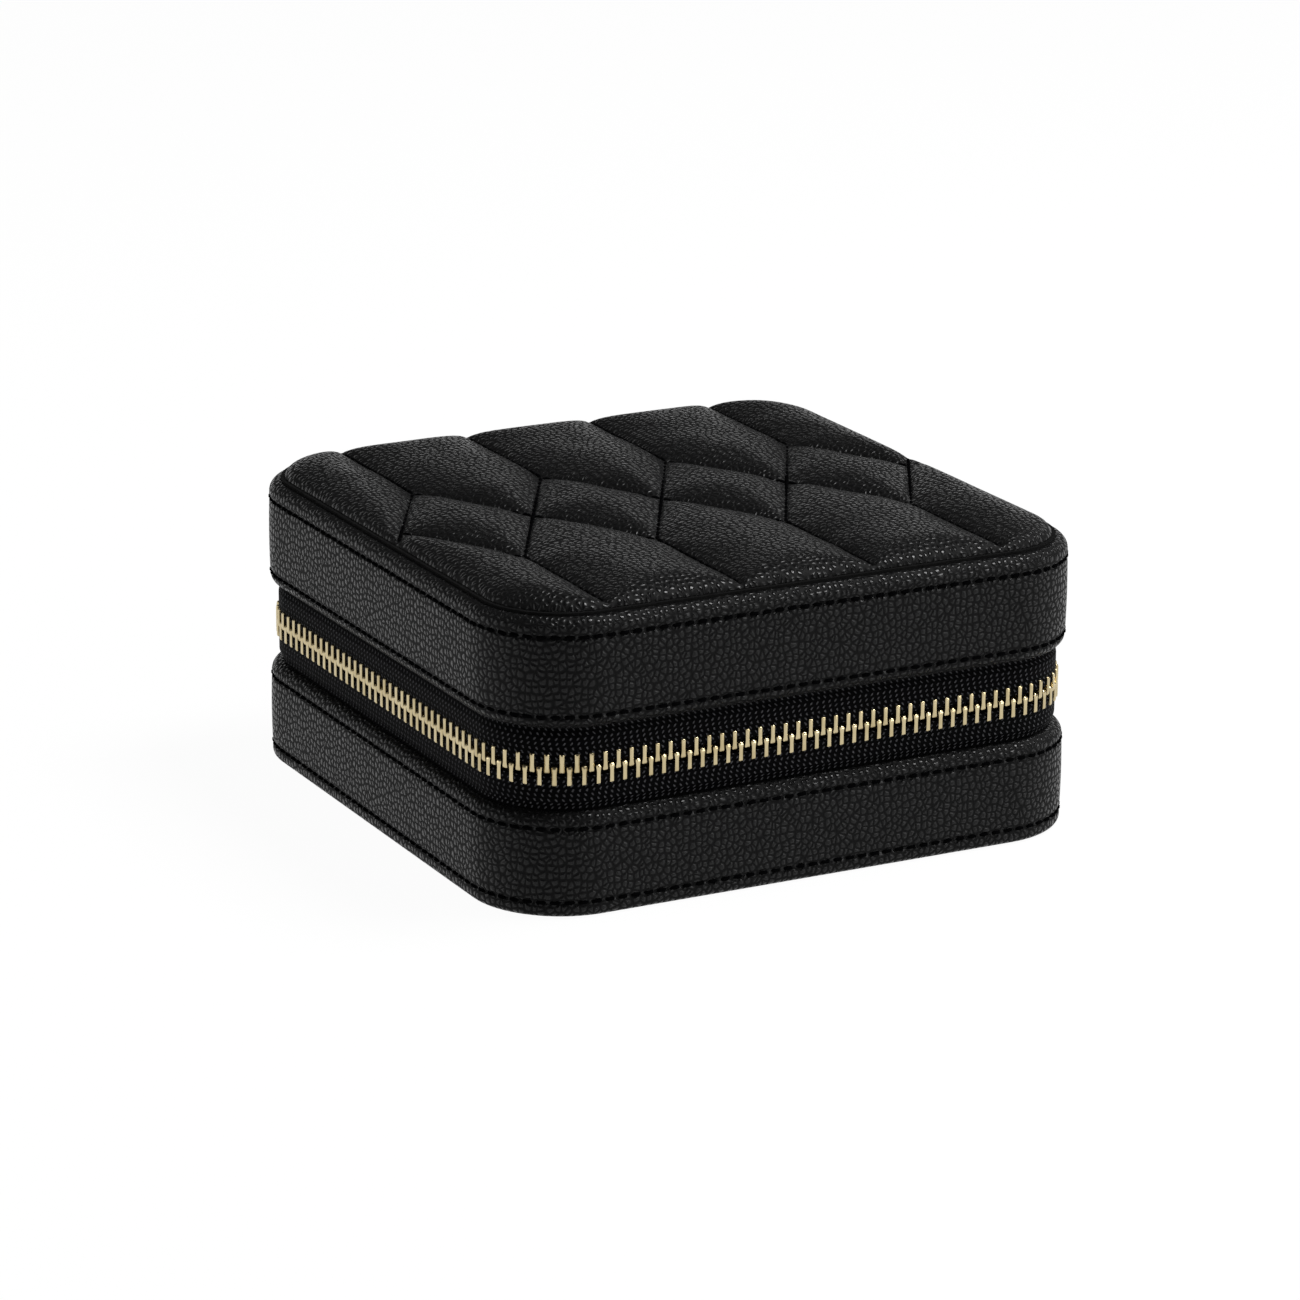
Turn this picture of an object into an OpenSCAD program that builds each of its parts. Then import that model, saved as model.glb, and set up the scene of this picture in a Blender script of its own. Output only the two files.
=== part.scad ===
// Zip-round leather jewellery case with a quilted lid.
// Origin: centre of the underside. +Z up, front = -Y, hinge at the back = +Y, zip sliders on the +X side.

/* [Case] */
// Outside width, side to side
case_w = 115; // [108:1:130]
// Outside depth, front to back
case_d = 115; // [108:1:130]
// Outside corner radius seen from above
corner_r = 17; // [15:0.5:22]
// Height of the base wall
base_h = 18.5; // [17:0.5:30]
// Height of the open band between the two walls, where the zip shows
zip_gap = 14.7; // [14:0.1:20]
// Height of the lid wall
lid_wall_h = 20; // [15:0.5:30]
// Radius of the rolled leather edges
edge_r = 2.2; // [1.6:0.1:3]

/* [Leather and board] */
// Thickness of the outer leather
leather_t = 1.0; // [0.6:0.1:1.2]
// Thickness of the card that stiffens the walls
wall_board_t = 1.2; // [0.8:0.1:2]
// Thickness of the base board and of the lid board
flat_board_t = 2; // [1.5:0.1:3]
// Thickness of the wall linings
lining_t = 0.8; // [0.5:0.1:1.2]
// Thickness of the zip tape and of the hinge leather, which share one seam
tape_t = 0.7; // [0.5:0.05:0.8]
// How far the bottom leather of the wall turns in under the case
turn_in = 5; // [4:0.5:10]

/* [Quilting] */
// Distance between the channel seams
quilt_pitch = 25.7; // [20:0.1:30]
// Distance of a channel's shoulder from the middle of the lid
quilt_shoulder = 22.8; // [15:0.1:30]
// Height of a seam above the lid board
seam_h = 1.2; // [0.8:0.1:2]
// Width of a sewn seam
seam_w = 0.5; // [0.3:0.1:1]
// Height of a puff above its seams
puff_h = 2.9; // [1:0.1:4]
// Distance from a seam to the crown of its puff
puff_run = 11.5; // [8:0.5:16]
// Height of the quilt's lip in the groove beside the wall
lip_h = 0.5; // [0.2:0.1:1]
// Distance from the groove to the crown of an edge puff
lip_run = 10; // [6:0.5:12]
// Thickness of the quilted leather
quilt_leather_t = 0.9; // [0.6:0.1:1.1]
// Gap between the wall board and the quilt's edge
groove_w = 0.4; // [0.2:0.1:1]

/* [Zip] */
// How far the zip's middle lies above the middle of the open band
zip_rise = 0.15; // [-0.3:0.05:0.3]
// Distance between the teeth of one row
tooth_pitch = 2.47; // [2.2:0.01:3]
// Thickness of a tooth along the row
tooth_t = 1.0; // [0.8:0.05:1.05]
// Depth of a tooth through the tape
tooth_depth = 2.4; // [2:0.1:2.6]
// Distance from the zip's middle to the outer end of a tooth
tooth_reach = 2.8; // [2.4:0.1:3.2]
// How far a tooth's head passes the zip's middle
tooth_hook = 0.7; // [0.4:0.05:0.8]
// How far the teeth lie behind the wall's outer face
tooth_inset = 0.6; // [0.2:0.1:1]
// Size of a tooth's cut corners
tooth_cut = 0.35; // [0.2:0.05:0.4]
// Width of one half of the zip, from its middle to the tape's sewn edge
tape_w = 15; // [12:0.5:15]
// Clearance of the tape's edge from the zip's middle
tape_edge = 1.25; // [1:0.05:1.6]
// Distance between the tape's bend and the wall's edge
bend_gap = 0.2; // [0.1:0.05:0.3]
// How far round each back corner the hinge leather reaches, in degrees
hinge_wrap = 45; // [35:1:60]
// Length of a bottom stop, at each end of the zip
bottom_stop_len = 2.6; // [2:0.2:4]
// Clearance between a bottom stop and the tape
stop_gap = 0.1; // [0.05:0.05:0.15]

/* [Slider] */
// Length of the slider
slider_len = 10.6; // [9:0.2:13]
// Thickness of the slider's plates
plate_t = 1.0; // [0.8:0.1:1.1]
// Thickness of the slider's side flanges
flange_t = 0.8; // [0.6:0.1:1]
// Clearance between the slider and the teeth
slider_gap = 0.2; // [0.15:0.05:0.25]
// Size of the slider's cut corners
slider_cut = 1.2; // [0.8:0.1:1.4]
// Half length of the slope between the slider's tail and its mouth
slope_half = 2.2; // [2:0.1:2.6]
// Tip of the wedge, from the slider's middle towards its mouth
wedge_tip = 1.5; // [1.4:0.1:1.8]
// Where the wedge has its full width, from the slider's middle towards its mouth
wedge_full = 3.2; // [3.1:0.1:3.5]
// Size of the wedge's cut corners
wedge_cut = 0.3; // [0.2:0.1:0.4]
// Where the rows are fully spread, from the slider's middle towards its mouth
rows_open = 3; // [2.8:0.1:3.1]
// Where the rows have closed, from the slider's middle towards its tail
rows_closed = 1.5; // [1.4:0.1:1.6]
// How far each row is spread at the slider's mouth
row_spread = 1.6; // [1.4:0.1:1.8]
// Where the two closed sliders meet on the +X side, from its middle
slider_y = 0; // [-10:1:10]
// Width of the slider's bridge
bridge_w = 2; // [1.4:0.1:2.6]
// Length of the slider's bridge
bridge_len = 6.4; // [5:0.2:7]
// Thickness of the slider's bridge
bridge_t = 0.8; // [0.6:0.1:1.2]
// Diameter of the pull's cross bar
bar_d = 1.1; // [0.9:0.1:1.4]
// Clearance round the cross bar
bar_gap = 0.25; // [0.2:0.05:0.4]
// Length of the pull from the cross bar to its end
pull_len = 21; // [14:1:30]
// Width of the pull
pull_w = 6.5; // [5.5:0.5:9]
// Diameter of the hole in the pull
pull_hole_d = 3; // [2:0.1:4]

/* [Inside] */
// Thickness of the base floor pad and of the lid's ceiling pad
pad_t = 2; // [1:0.5:3]
// Thickness of the raised inner wall
collar_t = 1.8; // [1.2:0.1:2.5]
// Height of the raised inner wall above the base board
collar_h = 27; // [20:0.5:28]
// Height of its padded foot
collar_foot_h = 14; // [8:0.5:15]
// Gap between the raised inner wall and the wall lining
collar_gap = 1.2; // [1:0.1:2]
// Thickness of the cross wall
cross_t = 3; // [2:0.5:4]
// Height of the cross wall above the floor pad
cross_h = 22; // [15:0.5:23]
// Place of the cross wall's front face, from the middle of the case
cross_y = 0.5; // [-10:0.5:10]
// Thickness of the two dividers
divider_t = 2.5; // [1.5:0.5:4]
// Height of the dividers above the floor pad
divider_h = 20; // [12:0.5:22]
// Number of ring rolls
roll_count = 4; // [3:1:5]
// Height of the ring rolls
roll_h = 16; // [12:0.5:20]
// Gap between two ring rolls
roll_gap = 0.3; // [0.2:0.1:1]
// Side of the mirror
mirror_w = 78; // [60:1:80]
// Thickness of the mirror
mirror_t = 1.6; // [1.2:0.1:2]
// Corner radius of the mirror
mirror_r = 6; // [3:0.5:10]
// Overlap of the frame over the mirror's edge
frame_lap = 3; // [2:0.5:5]
// Corner radius of the frame's window
window_r = 4.5; // [3:0.5:10]
// Width of the frame outside the mirror
frame_rim = 5; // [4:0.5:8]
// Thickness of the frame in front of the mirror
frame_t = 1.2; // [0.8:0.1:2]

/* [Hidden] */
$fn = 64;

leather_black = [0.12, 0.12, 0.13];
lining_grey = [0.30, 0.29, 0.31];
card_black = [0.20, 0.19, 0.18];
brass_pale = [0.86, 0.74, 0.50];
far = 400;
over = 1;                                 // how far a cutter passes the face that it cuts
arc_fn = 180;                             // facets of the long shallow arcs
channels = 2;                             // channels of the quilting on each side of the middle one
crown_rise = 12;                          // slope, in degrees, beyond a one-sided puff's crown
dome_clear = 0.4;                         // how far the edge dome passes over the crowns
eps = 0.01;

// Heights
lid_z = base_h + zip_gap;                 // lower edge of the lid wall
top_z = lid_z + lid_wall_h;               // upper edge of the lid wall, level with the lid board
zip_z = base_h + zip_gap / 2 + zip_rise;  // middle of the zip
base_board_top = leather_t + flat_board_t;
floor_z = base_board_top + pad_t;
lid_board_z = top_z - flat_board_t;
ceiling_z = lid_board_z - pad_t;

// Depths below the wall's outer face, measured inwards
seam_n = leather_t + wall_board_t;        // outer face of the tape seam
lining_n = seam_n + tape_t;               // outer face of the lining over the tape
inner_n = lining_n + lining_t;            // inner face of the wall lining
collar_n = inner_n + collar_gap;          // outer face of the raised inner wall
room_n = collar_n + collar_t;             // inner face of the raised inner wall
zip_n = tooth_inset + tooth_depth / 2;    // middle of the teeth
quilt_n = seam_n + groove_w;              // edge of the quilted top

half_w = case_w / 2;
half_d = case_d / 2;
straight_w = case_w - 2 * corner_r;
straight_d = case_d - 2 * corner_r;
room_w = case_w - 2 * room_n;
room_back = half_d - room_n;

// ---- shapes that go round the case --------------------------------------------------------------

// Plan of the case, moved inwards by n
module plan(n) {
    square([case_w - 2 * n, straight_d], center = true);
    square([straight_w, case_d - 2 * n], center = true);
    for (x = [-1, 1], y = [-1, 1])
        translate([x * straight_w / 2, y * straight_d / 2]) circle(r = corner_r - n);
}

// Flat layer with the plan of the case
module layer(n, z, t) {
    translate([0, 0, z]) linear_extrude(t) plan(n);
}

// Carries a section round the case. In the section, x = 0 is the wall's outer face and y is height.
module round_case() {
    for (k = [0 : 3])
        translate([(k == 0 || k == 3 ? 1 : -1) * straight_w / 2, (k < 2 ? 1 : -1) * straight_d / 2, 0])
            rotate([0, 0, 90 * k]) rotate_extrude(angle = 90) translate([corner_r, 0]) children();
    for (a = [0, 180]) rotate([0, 0, a]) {
        translate([half_w, straight_d / 2, 0]) rotate([90, 0, 0]) linear_extrude(straight_d) children();
        translate([-straight_w / 2, half_d, 0]) rotate([90, 0, 90]) linear_extrude(straight_w)
            children();
    }
}

// Section of a band from depth n1 to depth n2 and from height z1 to height z2
module band(n1, n2, z1, z2) {
    translate([-n2, z1]) square([n2 - n1, z2 - z1]);
}

// Band whose two outer edges are rounded
module rolled_band(n1, n2, z1, z2, r) {
    intersection() {
        union() {
            band(n1, n2 + r, z1 + r, z2 - r);
            band(n1 + r, n2 + r, z1, z2);
            translate([-n1 - r, z1 + r]) circle(r);
            translate([-n1 - r, z2 - r]) circle(r);
        }
        band(n1, n2, z1, z2);
    }
}

// Card strip that stiffens a wall between the heights z1 and z2
module wall_card(z1, z2) {
    round_case() rolled_band(leather_t, seam_n, z1 + leather_t, z2 - leather_t, edge_r - leather_t);
}

// Leather wrapped round a wall's card and turned in over both of its edges
module wall_leather(z1, z2, foot) {
    round_case() difference() {
        rolled_band(0, foot, z1, z2, edge_r);
        rolled_band(leather_t, foot + over, z1 + leather_t, z2 - leather_t, edge_r - leather_t);
        band(seam_n, foot + over, z1 + leather_t, z2 + over);
    }
}

// ---- base ---------------------------------------------------------------------------------------

module base_leather_wall() {
    color(leather_black) wall_leather(0, base_h, turn_in);
}

module base_leather_bottom() {
    color(leather_black) layer(turn_in, 0, leather_t);
}

module base_wall_card() {
    color(card_black) wall_card(0, base_h);
}

module base_board() {
    color(card_black) layer(seam_n, leather_t, flat_board_t);
}

// Lining of a wall: full depth beyond the tape's sewn edge, thinner where it covers the tape
module wall_lining(z_far, z_tape, z_mouth) {
    round_case() {
        band(seam_n, inner_n, min(z_far, z_tape), max(z_far, z_tape));
        band(lining_n, inner_n, min(z_tape, z_mouth), max(z_tape, z_mouth));
    }
}

module base_wall_lining() {
    color(lining_grey) wall_lining(base_board_top, zip_z - tape_w, base_h);
}

module base_floor_pad() {
    color(lining_grey) layer(room_n, base_board_top, pad_t);
}

// Raised wall inside the base, with a padded foot, which keeps the contents off the zip
module inner_wall() {
    color(lining_grey) round_case() {
        band(inner_n, room_n, base_board_top, base_board_top + collar_foot_h);
        band(collar_n, room_n, base_board_top, base_board_top + collar_h);
    }
}

// Wall from side to side between the compartments and the ring rolls
module cross_wall() {
    color(lining_grey) translate([-room_w / 2, cross_y, floor_z]) cube([room_w, cross_t, cross_h]);
}

// Two dividers that make three compartments in front of the cross wall
module dividers() {
    compartment_w = (room_w - 2 * divider_t) / 3;
    color(lining_grey) for (side = [-1, 1])
        translate([side * (compartment_w + divider_t) / 2 - divider_t / 2, -room_back, floor_z])
            cube([divider_t, room_back + cross_y, divider_h]);
}

// Padded rolls that hold rings in the slits between them
module ring_rolls() {
    first_y = cross_y + cross_t + roll_gap;
    roll_pitch = (room_back - first_y) / roll_count;
    roll_w = roll_pitch - roll_gap;
    color(lining_grey) intersection() {
        layer(room_n + roll_gap, floor_z, roll_h);
        for (k = [0 : roll_count - 1])
            translate([-room_w / 2, first_y + k * roll_pitch + roll_w / 2, floor_z])
                rotate([90, 0, 90]) linear_extrude(room_w) {
                    translate([-roll_w / 2, 0]) square([roll_w, roll_h - roll_w / 2]);
                    translate([0, roll_h - roll_w / 2]) circle(d = roll_w);
                }
    }
}

// ---- zip ----------------------------------------------------------------------------------------

// The zip starts at the hinge leather in the +X back corner and runs down the +X side, along the front,
// up the -X side and into the other back corner. s is the distance along it.
zip_r = corner_r - zip_n;                                  // corner radius of the teeth's middle
corner_len = PI * zip_r / 2;
end_turn = hinge_wrap / 90;                                // part of a back corner without teeth
run_1 = corner_len * (1 - end_turn);
run_2 = run_1 + straight_d;
run_3 = run_2 + corner_len;
run_4 = run_3 + straight_w;
run_5 = run_4 + corner_len;
run_6 = run_5 + straight_d;
zip_len = run_6 + corner_len * (1 - end_turn);

// Corner turns passed at s: 1 along the +X side, 2 along the front, 3 along the -X side
function turns(s) =
    s < run_1 ? end_turn + s / corner_len :
    s < run_2 ? 1 :
    s < run_3 ? 1 + (s - run_2) / corner_len :
    s < run_4 ? 2 :
    s < run_5 ? 2 + (s - run_4) / corner_len :
    s < run_6 ? 3 : 3 + (s - run_6) / corner_len;

// Centre that the zip turns about at s, or passes at the corner's distance on a straight
function turn_centre(s) =
    s < run_1 ? [straight_w / 2, straight_d / 2] :
    s < run_2 ? [straight_w / 2, straight_d / 2 - (s - run_1)] :
    s < run_3 ? [straight_w / 2, -straight_d / 2] :
    s < run_4 ? [straight_w / 2 - (s - run_3), -straight_d / 2] :
    s < run_5 ? [-straight_w / 2, -straight_d / 2] :
    s < run_6 ? [-straight_w / 2, -straight_d / 2 + (s - run_5)] :
    [-straight_w / 2, straight_d / 2];

// Puts children on the zip at s: x outwards, y against the zip's run, z up
module on_zip(s) {
    c = turn_centre(s);
    translate([c.x, c.y, zip_z]) rotate([0, 0, 90 - 90 * turns(s)]) translate([zip_r, 0, 0]) children();
}

// How far a row is spread at s: fully where the two sliders meet, back to nothing inside each slider
meet_s = run_1 + straight_d / 2 - slider_y;
spread_full = slider_len / 2 + slider_gap - rows_open;
spread_none = slider_len / 2 + slider_gap + rows_closed;
function spread(s) =
    row_spread * max(0, min(1, (spread_none - abs(s - meet_s)) / (spread_none - spread_full)));

// Prism over the part of the plan that the hinge leather covers
module hinge_region() {
    a = 90 - hinge_wrap;
    linear_extrude(far) polygon([
        [-straight_w / 2, straight_d / 2],
        [-straight_w / 2 - far * cos(a), straight_d / 2 + far * sin(a)],
        [straight_w / 2 + far * cos(a), straight_d / 2 + far * sin(a)],
        [straight_w / 2, straight_d / 2]
    ]);
}

// One tooth of the upper row: a head over two legs that clamp the tape's edge
module tooth() {
    h = tooth_depth / 2;
    c = tooth_cut;
    g = tape_t / 2;
    rotate([90, 0, 0]) linear_extrude(tooth_t, center = true) polygon([
        [c - h, -tooth_hook], [h - c, -tooth_hook], [h, c - tooth_hook], [h, tooth_reach - c],
        [h - c, tooth_reach], [g, tooth_reach], [g, tape_edge], [-g, tape_edge],
        [-g, tooth_reach], [c - h, tooth_reach], [-h, tooth_reach - c], [-h, c - tooth_hook]
    ]);
}

// Teeth of one row between s1 and s2; row is 1 for the upper and -1 for the lower
module teeth(row, s1, s2) {
    first = bottom_stop_len + slider_gap + tooth_t / 2 + (row > 0 ? tooth_pitch / 2 : 0);
    last = zip_len - bottom_stop_len - slider_gap - tooth_t / 2;
    k1 = max(0, ceil((s1 - first) / tooth_pitch));
    k2 = floor((min(s2 - eps, last) - first) / tooth_pitch);
    color(brass_pale) for (k = [k1 : k2]) {
        s = first + k * tooth_pitch;
        on_zip(s) scale([1, 1, row]) translate([0, 0, spread(s)]) tooth();
    }
}

// Woven tape of one row: sewn between card and lining, and standing out to the teeth. Its edge is cut
// back where the sliders spread the rows.
module zip_tape(row) {
    bend_1 = tooth_reach + row_spread + flange_t + slider_gap;
    bend_2 = zip_gap / 2 - bend_gap;
    shift = tape_t / 3;                                    // keeps the tape's thickness in its slope
    full = spread_full + tooth_t / 2;
    none = spread_none + tooth_t / 2;
    color(leather_black) difference() {
        translate([0, 0, zip_z]) scale([1, 1, row]) round_case() polygon([
            [-seam_n - tape_t, tape_w], [-seam_n, tape_w], [-seam_n, bend_2],
            [tape_t / 2 - zip_n, bend_1], [tape_t / 2 - zip_n, tape_edge],
            [-tape_t / 2 - zip_n, tape_edge], [-tape_t / 2 - zip_n, bend_1 + shift],
            [-seam_n - tape_t, bend_2 + shift]
        ]);
        hinge_region();
        translate([straight_w / 2, slider_y, zip_z]) scale([1, 1, row]) rotate([90, 0, 90])
            linear_extrude(far) polygon([
                [-none, 0], [-none, tape_edge], [-full, tape_edge + row_spread],
                [full, tape_edge + row_spread], [none, tape_edge], [none, 0]
            ]);
    }
}

module lower_zip_tape() { zip_tape(-1); }

module lower_teeth_slider_side() { teeth(-1, run_1, run_2); }

module lower_teeth_run() { teeth(-1, run_2, run_6); }

module lower_teeth_hinge_ends() {
    teeth(-1, 0, run_1);
    teeth(-1, run_6, zip_len);
}

// Clips that end the lower row beside the hinge leather and take the first and the last upper tooth
module zip_bottom_stops() {
    half = tooth_depth / 2 + slider_gap / 2;
    color(brass_pale) for (s = [bottom_stop_len / 2, zip_len - bottom_stop_len / 2]) on_zip(s)
        difference() {
            translate([-half, slider_gap - bottom_stop_len / 2, -tooth_reach])
                cube([2 * half, bottom_stop_len - 2 * slider_gap, tooth_reach + tape_edge - slider_gap]);
            translate([-tape_t / 2 - stop_gap, -bottom_stop_len, -tooth_reach - over])
                cube([tape_t + 2 * stop_gap, 2 * bottom_stop_len, tooth_reach + over - tape_edge]);
        }
}

// Leather strip that joins the two walls at the back and bends as the hinge
module hinge_leather() {
    color(leather_black) intersection() {
        round_case() band(seam_n, lining_n, zip_z - tape_w, zip_z + tape_w);
        hinge_region();
    }
}

// ---- lid ----------------------------------------------------------------------------------------

module lid_leather_wall() {
    color(leather_black) wall_leather(lid_z, top_z, seam_n);
}

module lid_wall_card() {
    color(card_black) wall_card(lid_z, top_z);
}

module lid_board() {
    color(card_black) layer(seam_n, lid_board_z, flat_board_t);
}

// Radius of an arc that rises by rise over the distance run and is level at its end
function arc_r(rise, run) = (run * run + rise * rise) / (2 * rise);

// Slopes of the two families of diamond seams
quilt_slope = atan2(quilt_shoulder, quilt_pitch / 2);

// Section of a puff between two seams, 2 * run apart
module puff_section(run) {
    r = arc_r(puff_h, run);
    intersection() {
        translate([run, puff_h - r]) circle(r, $fn = arc_fn);
        translate([-seam_w, -seam_h - over]) square([2 * (run + seam_w), far]);
    }
}

// Section of one side of a puff: an arc up from the seam, then a straight rise beyond its crown
module side_section(run) {
    r = arc_r(puff_h, run);
    x = run - r * sin(crown_rise);
    z = puff_h - r + r * cos(crown_rise);
    intersection() {
        translate([run, puff_h - r]) circle(r, $fn = arc_fn);
        translate([-seam_w, -seam_h - over]) square([x + seam_w, far]);
    }
    polygon([
        [x, -seam_h - over], [far / 2, -seam_h - over],
        [far / 2, z + (far / 2 - x) * tan(crown_rise)], [x, z]
    ]);
}

// Draws a section along the seam through p with the direction a, with the puff on the seam's left
module beside_seam(p, a) {
    translate([p.x, p.y, top_z + seam_h]) rotate([0, 0, a + 90]) translate([seam_w / 2, far / 2, 0])
        rotate([90, 0, 0]) linear_extrude(far) children();
}

// Channel k of one half of the lid: side 1 is the back half, -1 the front half. A channel ends in a
// point on the middle line. One slope of the first and of the last channel runs on to the lid's edge.
module channel(k, side) {
    tip = [k * quilt_pitch, 0];
    intersection() {
        if (k > -channels && k < channels)
            beside_seam([tip.x + quilt_pitch / 2, 0], 90) puff_section((quilt_pitch - seam_w) / 2);
        if (k == -channels) beside_seam([tip.x + quilt_pitch / 2, 0], 90) side_section(puff_run);
        if (k == channels) beside_seam([tip.x - quilt_pitch / 2, 0], -90) side_section(puff_run);
        if (side > 0 || k < channels) beside_seam(tip, side > 0 ? quilt_slope : 180 - quilt_slope)
            side_section(puff_run);
        if (side < 0 || k > -channels) beside_seam(tip, side > 0 ? -quilt_slope : 180 + quilt_slope)
            side_section(puff_run);
    }
}

// Diamond between four neighbouring channels, centred at x on the middle line
module diamond(x) {
    run = (quilt_pitch * sin(quilt_slope) - seam_w) / 2;
    intersection() {
        beside_seam([x + quilt_pitch / 2, 0], quilt_slope) puff_section(run);
        beside_seam([x + quilt_pitch / 2, 0], 180 - quilt_slope) puff_section(run);
    }
}

// Dome that rises from the groove beside the wall, with its edge moved inwards by n
module edge_dome(n) {
    rise = seam_h + puff_h + dome_clear - lip_h;
    r = arc_r(rise, lip_run);
    translate([0, 0, top_z]) {
        round_case() intersection() {
            translate([-n - lip_run, lip_h + rise - r]) circle(r, $fn = arc_fn);
            translate([-n - lip_run, -over]) square([lip_run, lip_h + rise + over]);
        }
        translate([0, 0, -over]) linear_extrude(lip_h + rise + over) plan(n + lip_run);
    }
}

// Quilted block, with its edge moved inwards by n, its surface lowered by t and its foot at z
module quilt(n, t, z) {
    intersection() {
        translate([0, 0, -t]) union() {
            layer(n, top_z - over, seam_h + over);
            for (k = [-channels : channels], side = [-1, 1]) channel(k, side);
            for (k = [-channels : channels - 1]) diamond((k + 0.5) * quilt_pitch);
        }
        translate([0, 0, -t]) edge_dome(n);
        layer(n, z, far);
    }
}

module quilt_foam() {
    color(lining_grey) quilt(quilt_n + quilt_leather_t, quilt_leather_t, top_z);
}

module quilted_leather_top() {
    color(leather_black) difference() {
        quilt(quilt_n, 0, top_z);
        quilt(quilt_n + quilt_leather_t, quilt_leather_t, top_z - over);
    }
}

module lid_wall_lining() {
    color(lining_grey) wall_lining(lid_board_z, zip_z + tape_w, lid_z);
}

module lid_ceiling_pad() {
    color(lining_grey) layer(inner_n, ceiling_z, pad_t);
}

// Square plate with round corners, for the mirror and its frame
module tile(w, r, z, t) {
    translate([0, 0, z]) linear_extrude(t) {
        square([w - 2 * r, w], center = true);
        square([w, w - 2 * r], center = true);
        for (x = [-1, 1], y = [-1, 1])
            translate([x * (w / 2 - r), y * (w / 2 - r)]) circle(r);
    }
}

module mirror_glass() {
    color("silver") tile(mirror_w, mirror_r, ceiling_z - mirror_t, mirror_t);
}

// Covered card frame, glued to the ceiling pad round the mirror and lapping over its edge
module mirror_frame() {
    z = ceiling_z - mirror_t - frame_t;
    color(lining_grey) difference() {
        tile(mirror_w + 2 * frame_rim, mirror_r + frame_rim, z, mirror_t + frame_t);
        tile(mirror_w, mirror_r, ceiling_z - mirror_t, mirror_t + over);
        tile(mirror_w - 2 * frame_lap, window_r, z - over, far);
    }
}

module upper_zip_tape() { zip_tape(1); }

module upper_teeth_slider_side() { teeth(1, run_1, run_2); }

module upper_teeth_run() { teeth(1, run_2, run_6); }

module upper_teeth_hinge_ends() {
    teeth(1, 0, run_1);
    teeth(1, run_6, zip_len);
}

// ---- slider -------------------------------------------------------------------------------------

tooth_gap = 0.15;                                          // clearance beside the rows
mouth_half = tooth_reach + row_spread + tooth_gap;         // inner half width at the mouth
tail_half = tooth_reach + tooth_gap;                       // inner half width at the tail
wedge_half = row_spread - tooth_hook - tooth_gap;          // half width of the wedge between the rows
plate_x = tooth_depth / 2 + slider_gap;                    // inner face of a plate
foot_x = plate_x + plate_t;                                // outer face of a plate
bar_x = foot_x + bar_gap + bar_d / 2;                      // axis of the pull's cross bar
slider_off = slider_len / 2 + slider_gap;                  // from the meeting point to a slider's middle

// Places children in a closed slider: x outwards, y towards its mouth. side is -1 for the slider in
// front of the meeting point and 1 for the one behind it; their mouths face each other.
module in_slider(side) {
    translate([half_w - zip_n, slider_y + side * slider_off, zip_z])
        rotate([side > 0 ? 180 : 0, 0, 0]) children();
}

// Outline of the slider seen from outside, widened by w
module slider_outline(w) {
    h = slider_len / 2;
    c = slider_cut;
    polygon([
        [-h, -tail_half - w + c], [c - h, -tail_half - w], [-slope_half, -tail_half - w],
        [slope_half, -mouth_half - w], [h - c, -mouth_half - w], [h, -mouth_half - w + c],
        [h, mouth_half + w - c], [h - c, mouth_half + w], [slope_half, mouth_half + w],
        [-slope_half, tail_half + w], [c - h, tail_half + w], [-h, tail_half + w - c]
    ]);
}

// Prism along the depth x, from x1 to x2, of an outline in y and z
module through(x1, x2) {
    translate([x1, 0, 0]) rotate([90, 0, 90]) linear_extrude(x2 - x1) children();
}

// Cast slider: two plates joined by a wedge and by flanges with a slot for the tapes, and a bridge
module slider(side) {
    h = slider_len / 2;
    tape_slot = tape_t / 2 + slider_gap;
    open = slider_cut + slider_gap;                        // length of full width at each end
    arch_in = bar_x + bar_d / 2 + bar_gap;
    arch_out = arch_in + bridge_t;
    color(brass_pale) in_slider(side) {
        difference() {
            through(-foot_x, foot_x) slider_outline(flange_t);
            difference() {
                through(-plate_x, plate_x) slider_outline(0);
                through(-foot_x, foot_x) polygon([
                    [wedge_tip, 0], [wedge_full, -wedge_half], [h - wedge_cut, -wedge_half],
                    [h, wedge_cut - wedge_half], [h, wedge_half - wedge_cut],
                    [h - wedge_cut, wedge_half], [wedge_full, wedge_half]
                ]);
            }
            translate([-plate_x, -h - over, -tail_half])
                cube([2 * plate_x, open + over, 2 * tail_half]);
            for (z = [wedge_half, -mouth_half])
                translate([-plate_x, h - open, z]) cube([2 * plate_x, open + over, mouth_half - wedge_half]);
            for (z = [tail_half - slider_gap, slider_gap - tail_half - far])
                translate([-tape_slot, -far / 2, z]) cube([2 * tape_slot, far, far]);
        }
        translate([0, 0, -bridge_w / 2]) linear_extrude(bridge_w) polygon([
            [foot_x - eps, -bridge_len / 2], [arch_in, -bridge_len / 2],
            [arch_out, bridge_t - bridge_len / 2], [arch_out, bridge_len / 2 - bridge_t],
            [arch_in, bridge_len / 2], [foot_x - eps, bridge_len / 2],
            [foot_x - eps, bridge_len / 2 - bridge_t], [arch_in, bridge_len / 2 - bridge_t],
            [arch_in, bridge_t - bridge_len / 2], [foot_x - eps, bridge_t - bridge_len / 2]
        ]);
    }
}

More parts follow.
